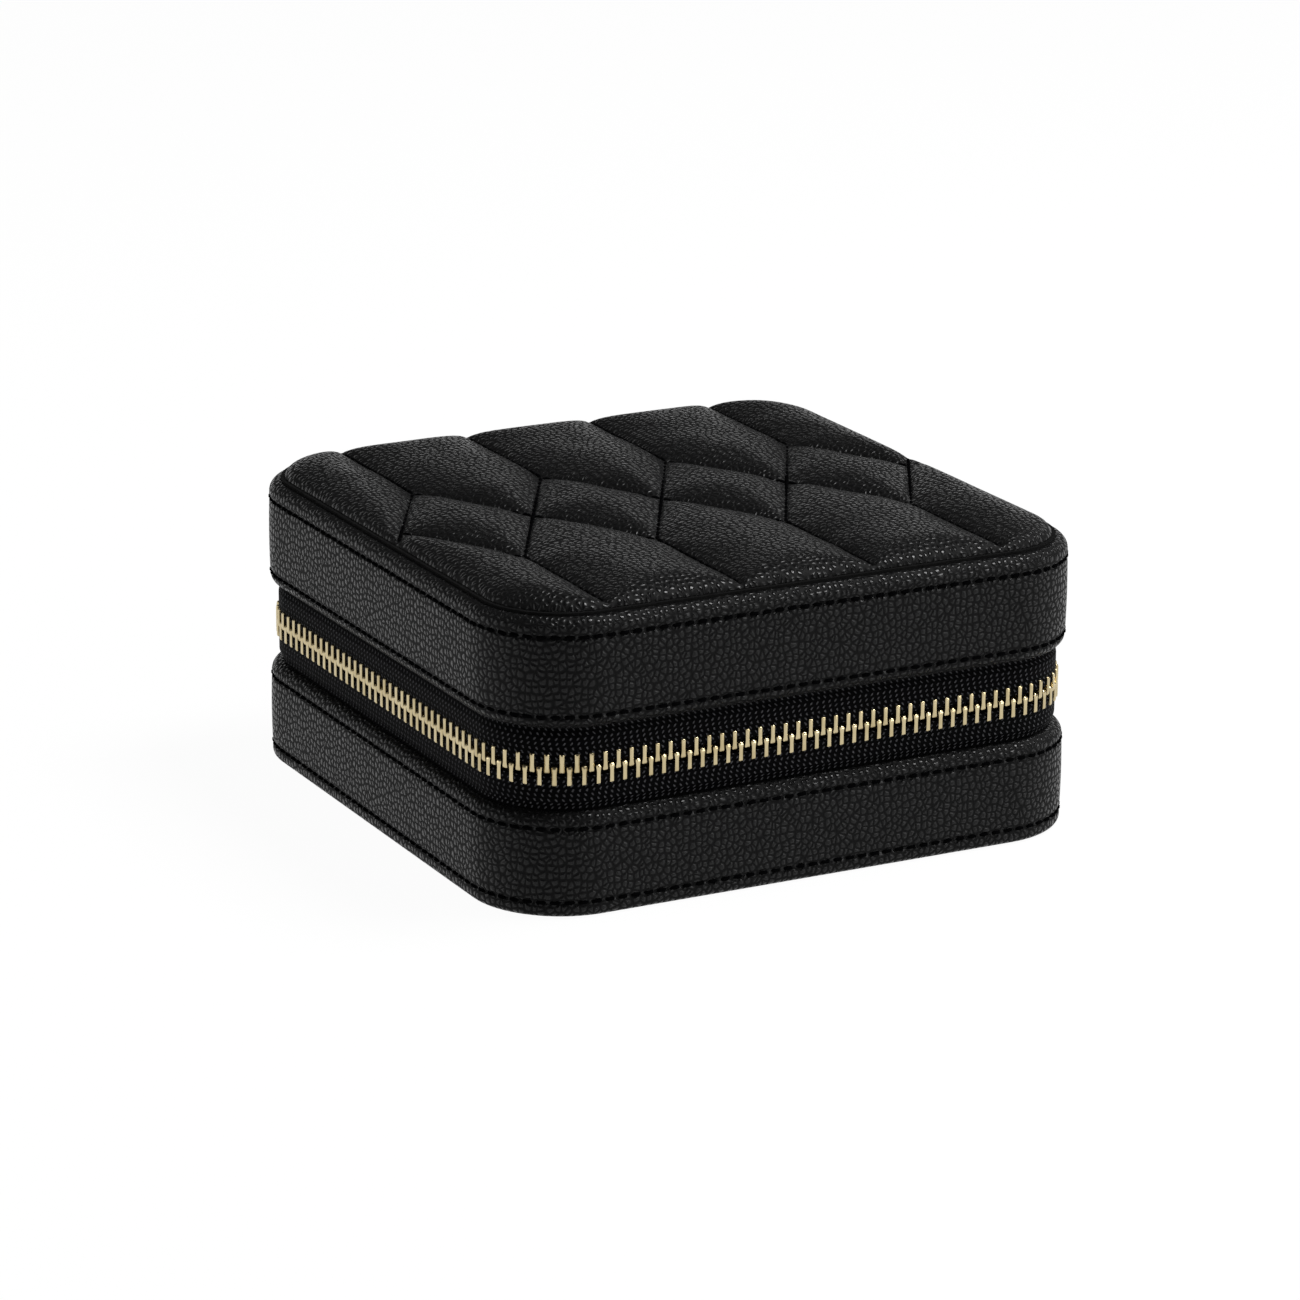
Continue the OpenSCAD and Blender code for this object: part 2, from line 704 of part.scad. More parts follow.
// Flat pull: a cross bar under the bridge, two arms past it and a rounded tab with a hole
module pull(side) {
    arm_in = bridge_w / 2 + bar_gap;
    window = bridge_len / 2 + 2 * bar_gap;
    tab_r = pull_w / 2;
    color(brass_pale) in_slider(side) translate([bar_x, 0, 0]) {
        cylinder(d = bar_d, h = 2 * arm_in + 2 * bar_d, center = true, $fn = 32);
        for (z = [arm_in, -arm_in - bar_d])
            translate([-bar_d / 2, -window - bar_d, z]) cube([bar_d, window + bar_d, bar_d]);
        through(-bar_d / 2, bar_d / 2) difference() {
            union() {
                translate([tab_r - pull_len, -tab_r]) square([pull_len - tab_r - window, pull_w]);
                translate([tab_r - pull_len, 0]) circle(tab_r);
            }
            translate([tab_r - pull_len, 0]) circle(d = pull_hole_d);
        }
    }
}

module front_slider() { slider(-1); }

module back_slider() { slider(1); }

module front_pull() { pull(-1); }

module back_pull() { pull(1); }

base_leather_wall();
base_leather_bottom();
base_wall_card();
base_board();
base_wall_lining();
base_floor_pad();
inner_wall();
cross_wall();
dividers();
ring_rolls();
lower_zip_tape();
lower_teeth_run();
lower_teeth_slider_side();
lower_teeth_hinge_ends();
zip_bottom_stops();
hinge_leather();
lid_leather_wall();
lid_wall_card();
lid_board();
quilt_foam();
quilted_leather_top();
lid_wall_lining();
lid_ceiling_pad();
mirror_glass();
mirror_frame();
upper_zip_tape();
upper_teeth_run();
upper_teeth_slider_side();
upper_teeth_hinge_ends();
front_slider();
back_slider();
front_pull();
back_pull();
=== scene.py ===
import math

import bmesh
import bpy
import numpy as np
from mathutils import Matrix, Vector


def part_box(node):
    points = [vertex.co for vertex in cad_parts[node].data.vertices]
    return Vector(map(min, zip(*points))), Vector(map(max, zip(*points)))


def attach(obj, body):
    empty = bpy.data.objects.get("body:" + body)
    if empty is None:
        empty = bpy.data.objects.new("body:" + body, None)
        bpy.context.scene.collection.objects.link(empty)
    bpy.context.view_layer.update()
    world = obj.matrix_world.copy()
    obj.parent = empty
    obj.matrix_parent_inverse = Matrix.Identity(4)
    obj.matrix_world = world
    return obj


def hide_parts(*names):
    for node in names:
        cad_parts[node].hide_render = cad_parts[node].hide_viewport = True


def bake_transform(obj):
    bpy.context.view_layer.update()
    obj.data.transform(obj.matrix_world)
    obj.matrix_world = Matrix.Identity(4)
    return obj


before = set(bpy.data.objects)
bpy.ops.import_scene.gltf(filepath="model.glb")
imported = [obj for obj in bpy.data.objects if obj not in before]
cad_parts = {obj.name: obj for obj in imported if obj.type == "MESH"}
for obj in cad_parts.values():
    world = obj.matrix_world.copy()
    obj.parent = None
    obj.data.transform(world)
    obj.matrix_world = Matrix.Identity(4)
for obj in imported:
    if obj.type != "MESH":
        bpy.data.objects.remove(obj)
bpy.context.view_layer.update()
MM = 0.001
scene = bpy.context.scene
scene.view_settings.view_transform = "Standard"


# ---- camera -------------------------------------------------------------------------------------
# A long lens looks down on the near left corner of the case from the front. Its axes are those of
# the viewing direction, turned a little about that direction.

view_azimuth = math.radians(-27.733)
view_elevation = math.radians(17.25)
view_roll = math.radians(0.455)
view_point = Vector((-401.675, -760.097, 292.344)) * MM

back = Vector((
    math.sin(view_azimuth) * math.cos(view_elevation),
    -math.cos(view_azimuth) * math.cos(view_elevation),
    math.sin(view_elevation),
))
right = Vector((0, 0, 1)).cross(back).normalized()
up = back.cross(right)
lens = bpy.data.cameras.new("camera")
lens.lens = 137.60
lens.sensor_width = 36
lens.clip_start = 0.01
lens.clip_end = 50
camera = bpy.data.objects.new("camera", lens)
scene.collection.objects.link(camera)
level = Matrix((right, up, back)).transposed()
camera.matrix_world = (
    Matrix.Translation(view_point) @ level.to_4x4() @ Matrix.Rotation(view_roll, 4, "Z")
)
scene.camera = camera


# ---- floor and light ----------------------------------------------------------------------------
# A wide pale floor that keeps the case's shadow, a white surround, and soft boxes: one overhead and
# to the right, which draws the glints on the rolled edges, and one on each side of the camera.

floor_size = 16.0
floor_colour = (0.86, 0.86, 0.86, 1)
floor_glow = 0.96
surround_light = 0.22
ceiling_light = 0.06
horizon_band = (0.0, 0.33)


def node_of(tree, kind, **values):
    """Adds a shader node and sets its properties, or its input sockets where a property is missing."""
    made = tree.nodes.new(kind)
    for name, value in values.items():
        if hasattr(made, name):
            setattr(made, name, value)
        else:
            made.inputs[name.replace("_", " ")].default_value = value
    return made


def seen_directly(tree):
    """Is 1 for camera, glossy and transmission rays, the rays that show the surround itself."""
    path = node_of(tree, "ShaderNodeLightPath")
    first = node_of(tree, "ShaderNodeMath", operation="MAXIMUM")
    second = node_of(tree, "ShaderNodeMath", operation="MAXIMUM")
    tree.links.new(path.outputs["Is Camera Ray"], first.inputs[0])
    tree.links.new(path.outputs["Is Glossy Ray"], first.inputs[1])
    tree.links.new(first.outputs[0], second.inputs[0])
    tree.links.new(path.outputs["Is Transmission Ray"], second.inputs[1])
    return second.outputs[0]


def ramp(tree, source, start, end, low, high):
    """Smooth step of source: low before start, high after end."""
    step = node_of(tree, "ShaderNodeMapRange", interpolation_type="SMOOTHSTEP")
    for place, value in zip(range(1, 5), (start, end, low, high)):
        step.inputs[place].default_value = value
    tree.links.new(source, step.inputs[0])
    return step.outputs[0]


# What the camera sees of the surround is white all over. Mirrored rays see it white near the floor,
# where the sweep stands, and darker towards the ceiling.
world = bpy.data.worlds.new("surround")
world.use_nodes = True
scene.world = world
tree = world.node_tree
tree.nodes.clear()
towards = node_of(tree, "ShaderNodeSeparateXYZ")
tree.links.new(node_of(tree, "ShaderNodeTexCoord").outputs["Generated"], towards.inputs[0])
sweep = ramp(tree, towards.outputs[2], *horizon_band, 1.0, ceiling_light)
straight = node_of(tree, "ShaderNodeLightPath").outputs["Is Camera Ray"]
mirrored = node_of(tree, "ShaderNodeMath", operation="MAXIMUM")
tree.links.new(sweep, mirrored.inputs[0])
tree.links.new(straight, mirrored.inputs[1])
dim = node_of(tree, "ShaderNodeBackground", Strength=surround_light)
bright = node_of(tree, "ShaderNodeBackground")
tree.links.new(mirrored.outputs[0], bright.inputs["Strength"])
dim.inputs["Color"].default_value = (1, 1, 1, 1)
bright.inputs["Color"].default_value = (1, 1, 1, 1)
mix = node_of(tree, "ShaderNodeMixShader")
out = node_of(tree, "ShaderNodeOutputWorld")
tree.links.new(seen_directly(tree), mix.inputs[0])
tree.links.new(dim.outputs[0], mix.inputs[1])
tree.links.new(bright.outputs[0], mix.inputs[2])
tree.links.new(mix.outputs[0], out.inputs["Surface"])

floor_mesh = bpy.data.meshes.new("floor")
edge = floor_size / 2
floor_mesh.from_pydata(
    [(-edge, -edge, 0), (edge, -edge, 0), (edge, edge, 0), (-edge, edge, 0)], [], [(0, 1, 2, 3)]
)
floor = bpy.data.objects.new("floor", floor_mesh)
scene.collection.objects.link(floor)
floor_paint = bpy.data.materials.new("floor_paint")
floor_paint.use_nodes = True
tree = floor_paint.node_tree
tree.nodes.clear()
matt = node_of(tree, "ShaderNodeBsdfDiffuse", Color=floor_colour)
glow = node_of(tree, "ShaderNodeEmission", Strength=1.0)
share = node_of(tree, "ShaderNodeMath", operation="MULTIPLY")
share.inputs[1].default_value = floor_glow
mix = node_of(tree, "ShaderNodeMixShader")
out = node_of(tree, "ShaderNodeOutputMaterial")
tree.links.new(seen_directly(tree), share.inputs[0])
tree.links.new(share.outputs[0], mix.inputs[0])
tree.links.new(matt.outputs[0], mix.inputs[1])
tree.links.new(glow.outputs[0], mix.inputs[2])
tree.links.new(mix.outputs[0], out.inputs["Surface"])
floor_mesh.materials.append(floor_paint)


def soft_box(name, place, size, power):
    """Square area lamp that looks at the middle of the case."""
    lamp = bpy.data.lights.new(name, "AREA")
    lamp.shape = "SQUARE"
    lamp.size = size
    lamp.energy = power
    box = bpy.data.objects.new(name, lamp)
    scene.collection.objects.link(box)
    aim = Vector((0, 0, 0.03)) - Vector(place)
    box.matrix_world = Matrix.Translation(place) @ aim.to_track_quat("-Z", "Y").to_matrix().to_4x4()


soft_box("overhead_box", (0.5, -0.15, 1.0), 0.45, 15.0)
soft_box("left_box", (-1.2, 0.5, 0.55), 0.8, 4.0)
soft_box("right_box", (1.0, -1.1, 0.5), 0.8, 8.0)


# ---- leather wall of the base -------------------------------------------------------------------
# One strip of pebbled leather, wrapped round a card strip: over its top edge, down the outside and
# in under the case, where its edge is sharper. Two rows of stitches run round it, each in a shallow
# valley.

low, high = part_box("base_leather_wall")
half_w = high.x
half_d = high.y
corner_r = 17 * MM
straight_x = half_w - corner_r
straight_y = half_d - corner_r
base_top = high.z
leather_t = 1.0 * MM
edge_r = 2.2 * MM
foot_r = 1.3 * MM
turn_in = 5 * MM
card_face = 2.2 * MM
base_rows = (2.7 * MM, 15.8 * MM)
stitch_count = 175
steps_per_stitch = 5
valley_depth = 0.26 * MM
valley_width = 0.45 * MM
hole_depth = 0.10 * MM
hole_reach = 0.45 * MM
belly = 0.12 * MM
grain_cell = 1.2 * MM


def outline(s, radius):
    """Centre and outward direction at the distance s round the case, clockwise from the middle of the
    back. The centre slides along the straights, and the direction turns a quarter at each corner."""
    turn = math.pi * radius / 2
    lengths = [straight_x, turn, 2 * straight_y, turn, 2 * straight_x, turn, 2 * straight_y, turn, straight_x]
    marks = np.concatenate([[0], np.cumsum(lengths)])
    x = straight_x * np.array([0, 1, 1, 1, 1, -1, -1, -1, -1, 0])
    y = straight_y * np.array([1, 1, 1, -1, -1, -1, -1, 1, 1, 1])
    angle = math.pi / 2 * (1 - np.interp(s, marks, [0, 0, 1, 1, 2, 2, 3, 3, 4, 4]))
    centre = np.stack([np.interp(s, marks, x), np.interp(s, marks, y)], -1)
    return centre, np.stack([np.cos(angle), np.sin(angle)], -1)


def around(radius):
    """Length of the outline whose corners have this radius."""
    return 4 * (straight_x + straight_y) + 2 * math.pi * radius


def arc(n, z, r, a0, a1, count):
    """Points of a circular arc in a wall's section, from the angle a0 to a1 in degrees. The first
    coordinate is the depth below the outer face, the second the height."""
    a = np.radians(np.linspace(a0, a1, count))
    return np.stack([n - r * np.cos(a), z + r * np.sin(a)], -1)


def resampled(line, count, rows):
    """The same line with count points, four times as close at each row of stitches as elsewhere."""
    run = np.concatenate([[0], np.cumsum(np.linalg.norm(np.diff(line, axis=0), axis=1))])
    fine = np.linspace(0, run[-1], 4000)
    height = np.interp(fine, run, line[:, 1])
    crowd = 1 + 3 * sum(np.exp(-((height - row) / (2 * valley_width)) ** 2) for row in rows)
    at = np.interp(np.linspace(0, 1, count), np.cumsum(crowd) / crowd.sum(), fine)
    at[0] = 0
    return np.stack([np.interp(at, run, line[:, k]) for k in range(2)], -1)


def placed(name, mesh, material, body):
    """Puts a finished mesh in the scene at the origin, with its material, on its body."""
    mesh.materials.clear()
    mesh.materials.append(material)
    piece = bpy.data.objects.new(name, mesh)
    scene.collection.objects.link(piece)
    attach(piece, body)
    return piece


def lofts(name, grid, joined=False, u=None, v=None, crease=None):
    """Mesh of separate lofts: grid[k, m, n] is point n of ring m of loft k. Quads join neighbouring
    rings, and the first and last ring are capped, or join each other. u and v are one longer than
    the rings and the points, and become the UV map."""
    k, m, n, _ = grid.shape
    a = np.arange(m if joined else m - 1)[:, None]
    b = np.arange(n)[None, :]
    next_a, next_b = (a + 1) % m, (b + 1) % n
    quad = np.stack([a * n + b, a * n + next_b, next_a * n + next_b, next_a * n + b], -1).reshape(-1, 4)
    start = (np.arange(k) * m * n)[:, None, None]
    faces = (quad[None] + start).reshape(-1, 4).tolist()
    if not joined:
        caps = np.stack([np.arange(n)[::-1], (m - 1) * n + np.arange(n)])
        faces += (caps[None] + start).reshape(-1, n).tolist()
    mesh = bpy.data.meshes.new(name)
    mesh.from_pydata(grid.reshape(-1, 3).tolist(), [], faces)
    if u is not None:
        corner = np.stack(np.broadcast_arrays(
            np.stack([u[a], u[a], u[a + 1], u[a + 1]], -1),
            np.stack([v[b], v[b + 1], v[b + 1], v[b]], -1)), -1)
        flat = np.zeros((len(mesh.loops), 2))
        flat[: k * len(quad) * 4] = np.tile(corner.reshape(-1, 2), (k, 1))
        mesh.uv_layers.new(name="UVMap").data.foreach_set("uv", flat.ravel())
    return outward(mesh, crease)


def outward(mesh, crease=None):
    """Turns a closed mesh's faces outwards and shades it smooth, but for edges over crease degrees."""
    shell = bmesh.new()
    shell.from_mesh(mesh)
    inside_out = shell.calc_volume(signed=True) < 0
    shell.free()
    if inside_out:
        mesh.flip_normals()
    mesh.polygons.foreach_set("use_smooth", np.ones(len(mesh.polygons), bool))
    if crease:
        mesh.set_sharp_from_angle(angle=math.radians(crease))
    mesh.update()
    return mesh


def swept(name, sections, crease=50):
    """Carries a closed section of depths and heights, one for each station, round the whole case."""
    s = np.linspace(0, around(corner_r), len(sections) + 1)
    centre, out = outline(s[:-1], corner_r)
    plan = centre[:, None] + (corner_r - sections[..., :1]) * out[:, None]
    closed = np.vstack([sections[0], sections[0, :1]])
    v = np.concatenate([[0], np.cumsum(np.linalg.norm(np.diff(closed, axis=0), axis=1))])
    return lofts(name, np.concatenate([plan, sections[..., 1:]], -1)[None], True, s, v, crease)


def wall_sections(outside, inside, rows):
    """Closes a wall's section from its outer and inner lines, at each station round the case. The
    outer line sinks in a bell-shaped valley at each row of stitches, deeper at the holes between two
    stitches, and swells by a half sine wave between the rows."""
    stations = stitch_count * steps_per_stitch
    pitch = around(corner_r) / stitch_count
    from_hole = (np.arange(stations) % steps_per_stitch) / steps_per_stitch
    from_hole = pitch * np.minimum(from_hole, 1 - from_hole)
    depth = valley_depth + hole_depth * np.exp(-(from_hole / hole_reach) ** 2)
    z = outside[:, 1]
    bell = sum(np.exp(-((z - row) / valley_width) ** 2) for row in rows)
    swell = belly * np.sin(np.pi * np.clip((z - rows[0]) / (rows[1] - rows[0]), 0, 1))
    upright = outside[:, 0] < 0.5 * edge_r
    n = outside[:, 0] + np.where(upright, depth[:, None] * bell - swell, 0)
    face = np.stack([n, np.broadcast_to(z, n.shape)], -1)
    return np.concatenate([face, np.broadcast_to(inside, (stations,) + inside.shape)], 1)


outside = resampled(np.vstack([
    arc(edge_r, base_top - edge_r, edge_r, 90, 0, 12),
    arc(foot_r, foot_r, foot_r, 0, -90, 12),
    [[turn_in, 0]],
]), 94, base_rows)
inside = np.vstack([
    [[turn_in, leather_t]],
    arc(foot_r, foot_r, foot_r - leather_t, -90, 0, 6),
    arc(edge_r, base_top - edge_r, edge_r - leather_t, 0, 90, 6),
])
base_sections = wall_sections(outside, inside, base_rows)


def linked(tree, made, *sources):
    """Links sources to a node's inputs in order, and gives its first output."""
    for socket, source in zip(made.inputs, sources):
        if source is not None:
            tree.links.new(source, socket)
    return made.outputs[0]


def pebbled_leather(name, cell, colour, glossy, dull, relief):
    """Leather with rounded pebbles between narrow creases, from Voronoi cells in the piece's UV map:
    a pebble rises with the distance to the cell's edge and falls off with the distance to its centre,
    which rounds its corners. A slow noise bends the cells, and a fine one roughens their tops. The
    pebble's height also gives the roughness and the shine, and darkens the colour in the creases and
    towards the pebbles' corners, as painted shade."""
    made = bpy.data.materials.new(name)
    made.use_nodes = True
    tree = made.node_tree
    shader = tree.nodes["Principled BSDF"]
    uv = node_of(tree, "ShaderNodeUVMap", uv_map="UVMap").outputs[0]
    wander = node_of(tree, "ShaderNodeTexNoise", noise_dimensions="2D", Scale=0.5 / cell, Detail=1.0)
    tree.links.new(uv, wander.inputs["Vector"])
    middle = node_of(tree, "ShaderNodeVectorMath", operation="SUBTRACT")
    middle.inputs[1].default_value = (0.5, 0.5, 0.5)
    tree.links.new(wander.outputs["Color"], middle.inputs[0])
    scaled = node_of(tree, "ShaderNodeVectorMath", operation="SCALE")
    scaled.inputs["Scale"].default_value = 0.4 * cell
    tree.links.new(middle.outputs[0], scaled.inputs[0])
    bent = linked(tree, node_of(tree, "ShaderNodeVectorMath", operation="ADD"), uv, scaled.outputs[0])
    fields = []
    for feature in ("DISTANCE_TO_EDGE", "F1"):
        cells = node_of(tree, "ShaderNodeTexVoronoi", voronoi_dimensions="2D", feature=feature,
                        Scale=1 / cell, Randomness=0.8)
        tree.links.new(bent, cells.inputs["Vector"])
        fields.append(cells.outputs["Distance"])
    rise = ramp(tree, fields[0], 0.0, 0.34, 0, 1)
    rounding = ramp(tree, fields[1], 0.1, 0.8, 1.0, 0.2)
    pebble = linked(tree, node_of(tree, "ShaderNodeMath", operation="MULTIPLY"), rise, rounding)
    fine = node_of(tree, "ShaderNodeTexNoise", noise_dimensions="2D", Scale=5 / cell, Detail=2.0)
    tree.links.new(uv, fine.inputs["Vector"])
    fine_share = node_of(tree, "ShaderNodeMath", operation="MULTIPLY")
    fine_share.inputs[1].default_value = 0.08
    tree.links.new(fine.outputs[0], fine_share.inputs[0])
    height = linked(tree, node_of(tree, "ShaderNodeMath", operation="ADD"), pebble, fine_share.outputs[0])
    bump = node_of(tree, "ShaderNodeBump", Strength=1.0, Distance=relief)
    tree.links.new(height, bump.inputs["Height"])
    tree.links.new(bump.outputs[0], shader.inputs["Normal"])
    # Painted shade: the colour falls to 0.45 of the leather's own in the creases and towards the pebbles'
    # corners.
    tone = node_of(tree, "ShaderNodeMix", data_type="RGBA")
    tone.inputs[6].default_value = (*(0.45 * c for c in colour), 1)
    tone.inputs[7].default_value = (*colour, 1)
    tree.links.new(ramp(tree, pebble, 0.1, 0.8, 0, 1), tone.inputs[0])
    tree.links.new(tone.outputs[2], shader.inputs["Base Color"])
    tree.links.new(ramp(tree, pebble, 0.1, 0.7, dull, glossy), shader.inputs["Roughness"])
    tree.links.new(ramp(tree, pebble, 0.0, 0.55, 0.09, 0.165), shader.inputs["Specular IOR Level"])
    return made


case_leather = pebbled_leather(
    "case_leather", grain_cell, (0.0042, 0.0042, 0.0044), glossy=0.23, dull=0.65, relief=0.15 * MM
)
wall = placed("base_wall", swept("base_wall", base_sections), case_leather, "base")
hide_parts("base_leather_wall")


# ---- stitches of the base wall ------------------------------------------------------------------
# Waxed black thread in lock stitches. Each stitch is a short arch that dives into the leather at
# both ends.

thread_r = 0.34 * MM
stitch_len = 1.9 * MM
stitch_rise = 0.2 * MM
seat = 0.3
thread_sides = 6
stitch_stations = 7


def stitch_rings(place, along, out, rise=stitch_rise):
    """Rings of one arch per place: it runs along, its height over out is an even fourth-power curve
    and its thickness shrinks at both ends."""
    t = np.linspace(-1, 1, stitch_stations)
    across = np.cross(along, out)
    line = (
        place[:, None]
        + (stitch_len / 2 * t)[None, :, None] * along[:, None]
        + (rise * (1 - 2 * t ** 4))[None, :, None] * out[:, None]
    )
    a = np.linspace(0, 2 * np.pi, thread_sides, endpoint=False)
    r = thread_r * (1 - 0.45 * t ** 6)
    spin = np.cos(a)[:, None] * across[:, None, None] + np.sin(a)[:, None] * out[:, None, None]
    return line[:, :, None] + r[None, :, None, None] * spin


def row_of_stitches(z, depth):
    """Stitches evenly spaced round the case at the height z."""
    s = (np.arange(stitch_count) + 0.5) * around(corner_r) / stitch_count
    centre, out = outline(s, corner_r)
    level = np.full(stitch_count, z)
    place = np.column_stack([centre + (corner_r - depth) * out, level])
    out = np.column_stack([out, 0 * level])
    along = np.column_stack([-out[:, 1], out[:, 0], 0 * level])
    return stitch_rings(place, along, out)


waxed_thread = bpy.data.materials.new("waxed_thread")
waxed_thread.use_nodes = True
tree = waxed_thread.node_tree
shader = tree.nodes["Principled BSDF"]
shader.inputs["Base Color"].default_value = (0.0015, 0.0015, 0.0017, 1)
shader.inputs["Roughness"].default_value = 0.8
shader.inputs["Specular IOR Level"].default_value = 0.0
strands = node_of(tree, "ShaderNodeTexNoise", Scale=9000.0, Detail=2.0)
tree.links.new(node_of(tree, "ShaderNodeTexCoord").outputs["Object"], strands.inputs["Vector"])
bump = node_of(tree, "ShaderNodeBump", Strength=0.6, Distance=0.05 * MM)
tree.links.new(strands.outputs[0], bump.inputs["Height"])
tree.links.new(bump.outputs[0], shader.inputs["Normal"])

for row, z in zip(("lower", "upper"), base_rows):
    name = f"base_{row}_stitches"
    rings = row_of_stitches(z, valley_depth + seat * thread_r)
    placed(name, lofts(name, rings), waxed_thread, "base")


# ---- leather bottom -----------------------------------------------------------------------------
# A flat panel of the same leather, glued under the base board inside the wall's turned-in edge.

bottom_inset = 0.15 * MM


def plate_grid(half_x, half_y, radius, count):
    """Grid over a rectangle with round corners. A square grid keeps its middle, and its rim is drawn
    in along each ray from the centre to the outline, by the sixth power of its nearness to the rim."""
    g = np.linspace(-1, 1, count)
    x, y = np.meshgrid(g, g, indexing="ij")
    near = np.maximum(np.abs(x), np.abs(y))
    q = np.stack([x * half_x, y * half_y], -1) / np.maximum(near, 1e-9)[..., None]
    core = np.array([half_x, half_y]) - radius
    along = (np.abs(q) * core).sum(-1)
    length = (q ** 2).sum(-1)
    root = np.sqrt(np.maximum(along ** 2 - length * ((core ** 2).sum() - radius ** 2), 0))
    reach = np.where((np.abs(q) > core).all(-1), (along + root) / length, 1.0)
    return np.stack([x * half_x, y * half_y], -1) * (1 + (reach - 1) * near ** 6)[..., None]


def rim_depth(p, half_x, half_y, radius):
    """Distance of points inwards from the outline of a rectangle with round corners."""
    q = np.abs(p) - (np.array([half_x, half_y]) - radius)
    outside = np.linalg.norm(np.maximum(q, 0), axis=-1)
    return radius - outside - np.minimum(q.max(-1), 0)


def slab(name, p, z_top, z_side, z_bottom, crease=50):
    """Closed plate over a grid of points: the height z_top for each, a side that ends at z_bottom
    and a flat face under it. The UV map is the plan in metres."""
    count = len(p)
    top = np.concatenate([p, z_top[..., None]], -1).reshape(-1, 3)
    index = np.arange(count * count).reshape(count, count)
    quads = np.stack([index[:-1, :-1], index[1:, :-1], index[1:, 1:], index[:-1, 1:]], -1).reshape(-1, 4)
    rim = np.concatenate([index[:-1, 0], index[-1, :-1], index[:0:-1, -1], index[0, :0:-1]])
    n = len(rim)
    levels = [top]
    rows = [rim]
    for k, z in enumerate((z_side, z_bottom)):
        levels.append(np.column_stack([top[rim, :2], np.full(n, z)]))
        rows.append(len(top) + k * n + np.arange(n))
    sides = [
        np.stack([a, b, np.roll(b, -1), np.roll(a, -1)], -1) for a, b in zip(rows[:-1], rows[1:])
    ]
    points = np.vstack(levels)
    mesh = bpy.data.meshes.new(name)
    mesh.from_pydata(points.tolist(), [], quads.tolist() + np.vstack(sides).tolist() + [rows[-1].tolist()])
    corner = np.zeros(len(mesh.loops), np.int32)
    mesh.loops.foreach_get("vertex_index", corner)
    drop = points[:, 2].max() - points[:, 2]
    drop[: len(top)] = 0
    spread = points[:, :2] * (1 + drop / np.linalg.norm(points[:, :2], axis=1).clip(1e-6))[:, None]
    mesh.uv_layers.new(name="UVMap").data.foreach_set("uv", spread[corner].ravel())
    return outward(mesh, crease)


inset = turn_in + bottom_inset
size = (half_w - inset, half_d - inset, corner_r - inset)
p = plate_grid(*size, 120)
edge_lift = 0.25 * MM * np.exp(-rim_depth(p, *size) / (0.5 * MM))
mesh = slab("base_bottom", p, leather_t - edge_lift, 0.5 * leather_t, 0.3 * leather_t)
mesh.transform(Matrix.Translation((0, 0, leather_t)) @ Matrix.Scale(-1, 4, (0, 0, 1)))
mesh = outward(mesh, 50)
bottom = placed("base_bottom", mesh, case_leather, "base")
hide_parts("base_leather_bottom")


# ---- leather wall of the lid --------------------------------------------------------------------
# The lid's wall is wrapped like the base's. Its upper edge rolls over into the groove beside the
# quilted top, where the leather is pulled thin over the card's edge.

low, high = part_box("lid_leather_wall")
lid_low = low.z
lid_top = high.z
lid_rows = (35.6 * MM, 49.5 * MM)
roll_drop = 0.5 * MM

outside = resampled(np.vstack([
    arc(edge_r, lid_top - roll_drop - edge_r, edge_r, 90, 0, 12),
    arc(edge_r, lid_low + edge_r, edge_r, 0, -90, 12),
]), 94, lid_rows)
inside = np.vstack([
    arc(edge_r, lid_low + edge_r, edge_r - leather_t, -90, 0, 6),
    arc(edge_r, lid_top - edge_r, edge_r - leather_t, 0, 90, 6),
])
lid_sections = wall_sections(outside, inside, lid_rows)
wall = placed("lid_wall", swept("lid_wall", lid_sections), case_leather, "lid")
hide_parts("lid_leather_wall")

for row, z in zip(("lower", "upper"), lid_rows):
    name = f"lid_{row}_stitches"
    rings = row_of_stitches(z, valley_depth + seat * thread_r)
    placed(name, lofts(name, rings), waxed_thread, "lid")


# ---- quilted top --------------------------------------------------------------------------------
# One sheet of leather over foam. Channels run in from the front and the back, and a row of diamonds
# lies between their points across the middle. Stitched seams hold the leather down between the puffs.

quilt_edge = 2.9 * MM
quilt_pitch = 25.7 * MM
quilt_shoulder = 22.8 * MM
seam_height = 0.9 * MM
puff_height = 2.2 * MM
puff_run = 11.5 * MM
lip = 1.0 * MM
edge_roll = 0.85 * MM
edge_roll_run = 0.5 * MM
rim_hold = 1.0 * MM
rim_side = 0.08 * MM
rim_blend = 0.25 * MM
lip_run = 10 * MM
dome_over = 0.2 * MM
crest_blend = 0.8
seam_pull = 0.5 * MM
seam_pull_run = 0.6 * MM
pucker = 0.08 * MM
quilt_stitch = 2.5 * MM
quilt_rows = 310
quilt_size = (half_w - quilt_edge, half_d - quilt_edge, corner_r - quilt_edge)

far_y = half_d
nodes_x = quilt_pitch * np.arange(-2, 3)
shoulders_x = quilt_pitch * (np.arange(-2, 2) + 0.5)
seams = [((x, side * quilt_shoulder), (x, side * far_y)) for x in shoulders_x for side in (-1, 1)]
seams += [
    ((x, 0.0), (x + end * quilt_pitch / 2, side * quilt_shoulder))
    for x in nodes_x for end in (-1, 1) for side in (-1, 1)
    if abs(x + end * quilt_pitch / 2) < 2 * quilt_pitch or side == end
]


def to_seams(p):
    """Distance of points to every seam, and how far along the seam each nearest place lies."""
    away, along = [], []
    for start, end in seams:
        a, run = np.array(start), np.array(end) - np.array(start)
        length = np.linalg.norm(run)
        t = np.clip((p - a) @ run / length ** 2, 0, 1)
        away.append(np.linalg.norm(p - a - t[..., None] * run, axis=-1))
        along.append(t * length)
    return np.array(away), np.array(along)


